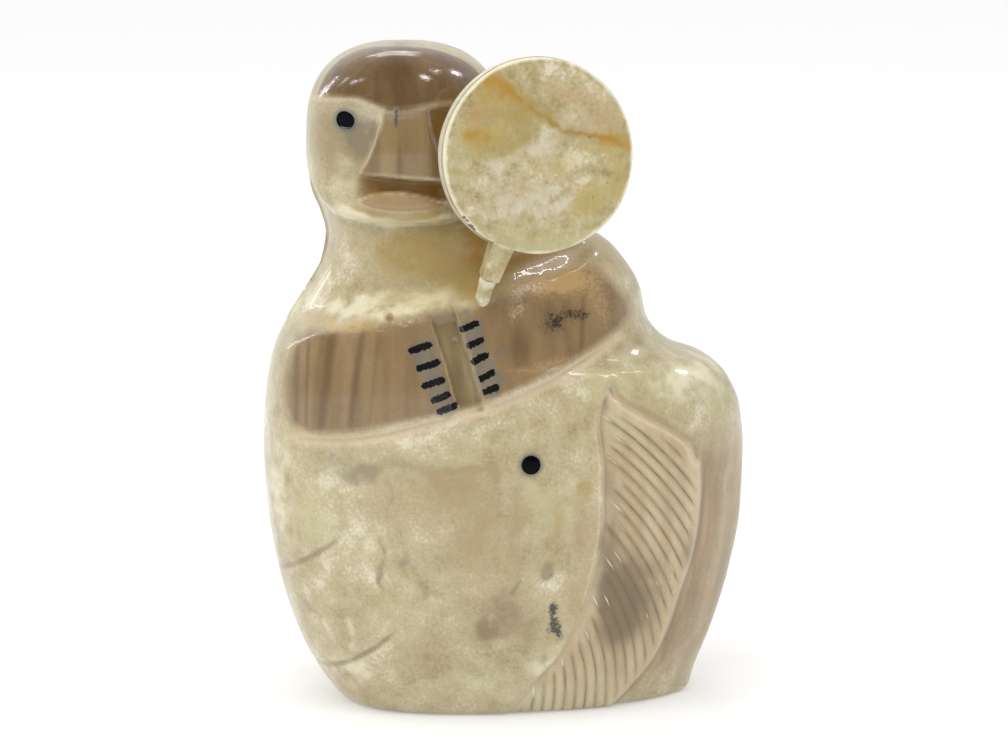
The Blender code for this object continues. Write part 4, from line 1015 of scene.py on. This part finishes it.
# Stains on the drum's face, as in `stains` but read across and up the face from its middle
drumStains = {
    "moved": [(0.8, 3, 61), (0.2, 0.8, 63)],
    "patches": {
        "orange": [(-4.6, 8.8, 2.6, 1.6, 1), (-8.1, 2.4, 2, 1.1, 0.75), (9.6, 1.7, 3, 1, 0.75),
            (-8, 5.6, 1.8, 2.4, 0.45), (-1.6, 6.8, 1.8, 1.4, 0.5), (-6.2, 9.4, 2, 1.2, 0.4)],
        "olive": [(-2.8, 4.4, 2, 2.6, 1), (-6.2, 5.8, 2.4, 1.8, 0.5), (-10.8, -1.2, 1.3, 0.7, 0.6),
            (2.6, -1.2, 1.5, 1.5, 0.4)],
        "yellow": [(-5.6, 8.6, 3.4, 2.4, 0.9), (-7.6, 2.8, 3.2, 1.8, 0.9), (9.4, 1.5, 3.8, 1.5, 0.9),
            (-3, 6.4, 3, 2.4, 0.6), (6.6, -6, 2.4, 1.9, 1.1), (10, -3, 1.8, 3.8, 0.8), (2, -1, 3.5, 2, 0.6),
            (-6, 2, 4, 2, 0.6)],
        "pink": [(-7, 5.2, 2.2, 2.4, 1), (8.4, 4.4, 2.6, 2.2, 0.9), (3.4, 7.6, 4, 2.4, 0.8),
            (-2, -3.6, 3.5, 2, 0.5), (4.4, 2.6, 2.5, 1.2, 0.5)],
        "grey": [(0.5, 1, 3, 2.2, 0.9), (-4.5, -5.5, 4, 3, 0.8), (2, -5.5, 3, 2.5, 0.8), (5, 5, 3, 1.6, 0.7),
            (-5.8, -1.2, 2.5, 1.4, 0.7)],
        "green": [(0, -11, 9, 3, 1), (-11, -3, 2, 6, 0.7)],
    },
    "lines": {
        "vein": [([(-3.8, 9), (-0.8, 5.9), (1.2, 4.6), (4.2, 3.4), (6.8, 2.1), (12.3, 0.9)], 0.28, 0.75),
            ([(6.8, 2.1), (9.5, 2.6), (11.8, 2.2)], 0.5, 0.3)],
        "orange": [([(-9.8, 2.9), (-6.6, 1.7)], 0.5, 0.35), ([(8.6, 1.7), (12.3, 0.9)], 0.4, 0.5)],
        "olive": [([(-6.5, 1.5), (-3, 0.9), (-0.9, 2.9)], 0.8, 0.6), ([(-3.6, 8.6), (0.6, 5.2)], 1.1, 0.7),
            ([(0.6, 5.2), (4.2, 3.4), (6.8, 2.1), (12.3, 0.9)], 0.9, 0.5)],
    },
    "specks": [(-6.6, -2, 0.16), (-8.2, -4.8, 0.17), (6.9, -5.4, 0.17), (6.5, 2.2, 0.15), (-2.3, 8.2, 0.15),
        (6, -10.4, 0.14), (-7.2, -1, 0.1), (-10.4, 2.6, 0.14), (8.8, -3.6, 0.1), (-5, -7, 0.1)],
    "chippedEdge": [(-9.8, -7.3), (-8.4, -9)],
}

drumFinish = {
    "grains": {"broad": (6, 4, 11), "middle": (1.6, 5, 12), "fine": (0.5, 4, 13), "flecks": (0.4, 1, 14)},
    "shares": (0.4, 0.6, 0.4), "stainEdges": (0.04, 1.15),
    "roughness": (0.3, 0.5), "relief": (0.25, 0.14 * mm),
    "coats": [("green", 0.7, 2, "middle"), ("grey", 0.8, 4, "middle"), ("pink", 0.8, 3, "middle"),
              ("yellow", 0.8, 2.5, "middle"), ("olive", 0.8, 3, "middle"), ("vein", 0.85, 5, "middle"),
              ("orange", 0.8, 2.6, "middle"), ("chalk", 0.85, 0.5, "middle", 0.15, 0.9)],
    "marks": [("speck", 0.85, 0.5, "fine", 0.3, 0.8)],
    "core": [(0.32, "#9f8e5f"), (0.44, "#b1a277"), (0.55, "#c1b48d"), (0.66, "#dcd3b8")],
    "vein": "#9c7e34", "orange": "#b08224", "yellow": "#b3a05a", "olive": "#a38f50", "chalk": "#eee8d0",
    "pink": "#b3986c", "grey": "#d0c8ae", "speck": "#3f3524", "green": "#b7b282", "fleck": "#7d6a3c",
}


def drumMaterial():
    # Marbled core of the tusk, sawn across and lightly polished: pebbly cream and grey, stained ochre
    # along old cracks, chalky where the rim was filed
    finish, add, feed = newMaterial("sawn marbled tusk core", {
        "IOR": 1.54, "Metallic": 0.0, "Subsurface Weight": 0.15, "Subsurface Scale": 0.001,
        "Subsurface Radius": (1.0, 0.65, 0.4), "Coat Weight": 0.15, "Coat Roughness": 0.2})
    colour, grains = marbledCore(add, drumFinish)
    colour = paint(add, colour, drumFinish, "coats", grains)
    flecks = add("step", grains["flecks"], 0.7, 0.78, 0.0, 0.45)
    colour = add("mix", flecks, colour, srgb(drumFinish["fleck"]))
    colour = paint(add, colour, drumFinish, "marks", grains)
    height = add("timesPlus", grains["fine"], 0.5, grains["middle"])
    rough = add("step", grains["middle"], 0.25, 0.75, *drumFinish["roughness"])
    feed({"Base Color": colour, "Roughness": rough, "Normal": add("bump", *drumFinish["relief"], height)})
    return finish


def drumPaddle(finish):
    # The drum and its grip, with its stains read on the face and paler towards the back
    points, u, v, rho, height = drumGrid()
    faced = ease(height / drum["thickness"] * 2)
    masks = {kind: stainShare(drumStains, kind, u, v) * (0.45 + 0.55 * faced)
             for kind in (*drumStains["patches"], "vein")}
    masks["chalk"] = ease((rho - 11.5) / 0.8) * (rho < 12.5) * (0.75 + 0.4 * speckle(u, v, 3.0, 65))
    chips = 0.5 + 0.9 * speckle(u, v, 0.35, 42)
    masks["speck"] = glow(drumStains["chippedEdge"], u, v, 0.28) * chips * faced
    for across, upward, size in drumStains["specks"]:
        masks["speck"] = np.maximum(masks["speck"], 0.9 * spot(u, v, (across, upward), (size, size)) * faced)
    return skinMesh("drumPaddle", points, masks, finish, drum["sharpFrom"])


def drumPeg(finish):
    # A whittled rod from its socket to the mitred joint, swelling under the joint, with a bead of glue
    foot, along, joint = pegAxis()
    radius = drum["pegDiameter"] / 2
    length = np.linalg.norm(np.array(drum["gripEnd"]) - foot)
    side = unit(np.cross(along, (0.0, 1.0, 0.0)))
    ahead = np.cross(side, along)
    around = np.linspace(0, math.tau, drum["pegColumns"], endpoint=False)
    bottom, top = -drum["pegSeat"], length + drum["pegPastJoint"]
    steps = np.concatenate([[bottom], np.linspace(bottom, top, drum["pegRows"]), [top]])
    width = np.full(steps.shape, radius)
    width[0] = width[-1] = 0
    lumps = 0.05 * np.sin(3 * around + 0.6) + 0.03 * np.sin(5 * around + 2.1)
    ring = np.cos(around)[:, None] * side + np.sin(around)[:, None] * ahead
    spread = width[:, None] * (1 - 0.5 * lumps.max() + lumps)
    swell = drum["glueSwell"] * (bell(steps - length + 0.5, 0.7) * (width > 0))[:, None]
    points = foot + steps[:, None, None] * along + (spread + swell)[..., None] * ring
    limit = np.array(drum["gripEnd"]) - joint * drum["gap"] / 2
    past = (points - limit) @ joint
    points = points - np.where(past > 0, past / (along @ joint), 0)[..., None] * along
    masks = {title: np.zeros(points.shape[:2]) for title in (*drumStains["patches"], "vein", "speck")}
    masks["chalk"] = np.repeat(0.4 + 0.3 * ease((steps - length + 1.2) / 0.8)[:, None], len(around), 1)
    return skinMesh("drumPeg", points, masks, finish, drum["sharpFrom"])


# Studio

studio = {
    "elevation": 10, "distance": 500, "target": 41.6, "focalPixels": 3828, "imageWidth": 1008, "sensor": 36,
    "floor": "#dcdcdc", "floorGlow": 0.27, "floorHalf": 4000, "floorDrop": 0.03, "sky": "#ffffff",
    # in front of the carving, and behind it where its edges mirror it
    "skyStrength": (0.16, 0.72),
    # broad soft light: degrees left of the front, degrees up, spread, watts per m2
    "softbox": {"left": 25, "up": 52, "spread": 75, "strength": 2.18},
    # tubes and small lamps that only show as streaks and dots in the polish: place, size, watts
    "lamps": {
        "tubeBack": ((-60, 440, 500), (300, 7), 0.22), "tubeMiddle": ((-30, 330, 560), (260, 7), 0.22),
        "tubeRight": ((395, -10, 550), (150, 7), 0.16), "tubeLeft": ((-520, 330, 300), (7, 170), 0.2),
        "tubeFarLeft": ((-490, 400, 190), (7, 120), 0.14), "tubeNearLeft": ((-560, 60, 420), (7, 120), 0.1),
        "lampRight": ((335, -315, 490), (110, 80), 0.5), "lampLeft": ((-400, -260, 440), (22, 22), 0.08),
        "lampLeftLow": ((-450, -200, 420), (22, 22), 0.08),
        "lampLeftBack": ((-480, -150, 400), (22, 22), 0.08),
        "lampShoulder": ((420, 230, 430), (70, 50), 0.25),
    },
}


def studioFloor():
    # A square of paper just under the base
    finish = newMaterial("matt white paper sweep", {
        "Base Color": srgb(studio["floor"]), "Roughness": 0.9, "Specular IOR Level": 0.1,
        "Emission Color": srgb("#ffffff"), "Emission Strength": studio["floorGlow"]})[0]
    half = studio["floorHalf"] * mm
    corners = [(-half, -half), (half, -half), (half, half), (-half, half)]
    mesh = bpy.data.meshes.new("studioFloor")
    mesh.from_pydata([(x, y, -studio["floorDrop"] * mm) for x, y in corners], [], [(0, 1, 2, 3)])
    mesh.materials.append(finish)
    floor = addObject("studioFloor", mesh)


def studioLights():
    # A sky that is darker in front of the carving than behind it, a softbox, and small lamps for highlights
    world = bpy.data.worlds.new("studioWorld")
    world.use_nodes = True
    tree = world.node_tree
    ahead = addNode(tree, "northing", addNode(tree, "heading"))
    strength = addNode(tree, "step", ahead, -0.5, 0.6, *studio["skyStrength"])
    plug(tree, tree.nodes["Background"], {"Color": srgb(studio["sky"]), "Strength": strength})
    bpy.context.scene.world = world
    soft = studio["softbox"]
    sun = bpy.data.lights.new("softbox", "SUN")
    sun.angle, sun.energy = math.radians(soft["spread"]), soft["strength"]
    box = addObject("softbox", sun)
    box.rotation_euler = (math.radians(90 - soft["up"]), 0, math.radians(-soft["left"]))
    box.visible_glossy = False
    aim = Vector((0, 0, studio["target"] * mm))
    for name, (stands, size, watts) in studio["lamps"].items():
        light = bpy.data.lights.new(name, "AREA")
        light.shape = "RECTANGLE"
        light.size, light.size_y = size[0] * mm, size[1] * mm
        light.energy = watts
        lamp = addObject(name, light)
        lamp.location = Vector(stands) * mm
        lamp.rotation_euler = (aim - lamp.location).to_track_quat("-Z", "Y").to_euler()


def studioCamera():
    # Straight in front and a little above, aimed at the target height
    lens = bpy.data.cameras.new("studioCamera")
    lens.sensor_width = studio["sensor"]
    lens.lens = studio["sensor"] * studio["focalPixels"] / studio["imageWidth"]
    lens.clip_start = 0.01
    lens.clip_end = 20
    camera = addObject("studioCamera", lens)
    tilt = math.radians(studio["elevation"])
    away = Vector((0, -math.cos(tilt), math.sin(tilt))) * studio["distance"]
    camera.location = (Vector((0, 0, studio["target"])) + away) * mm
    camera.rotation_euler = (math.pi / 2 - tilt, 0, 0)
    bpy.context.scene.camera = camera


def place(piece, slot, *nodes):
    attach(piece, "root")
    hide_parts(*nodes)
    print(piece.name, len(piece.data.vertices), "points")


place(tuskCarving(), "polished_tusk", "figure")
baleen = inlayMaterial()
for name, spotOnFront in inlay["places"].items():
    place(eyeInlay(name, spotOnFront, baleen), "black_inlay", inlay["nodes"][name])
tuskCore = drumMaterial()
place(drumPaddle(tuskCore), "marbled_tusk_core", "drum")
place(drumPeg(tuskCore), "marbled_tusk_core", "drum_peg")
print("pieces made")

studioFloor()
studioLights()
studioCamera()
bpy.context.scene.view_settings.view_transform = "Standard"
print("studio set")
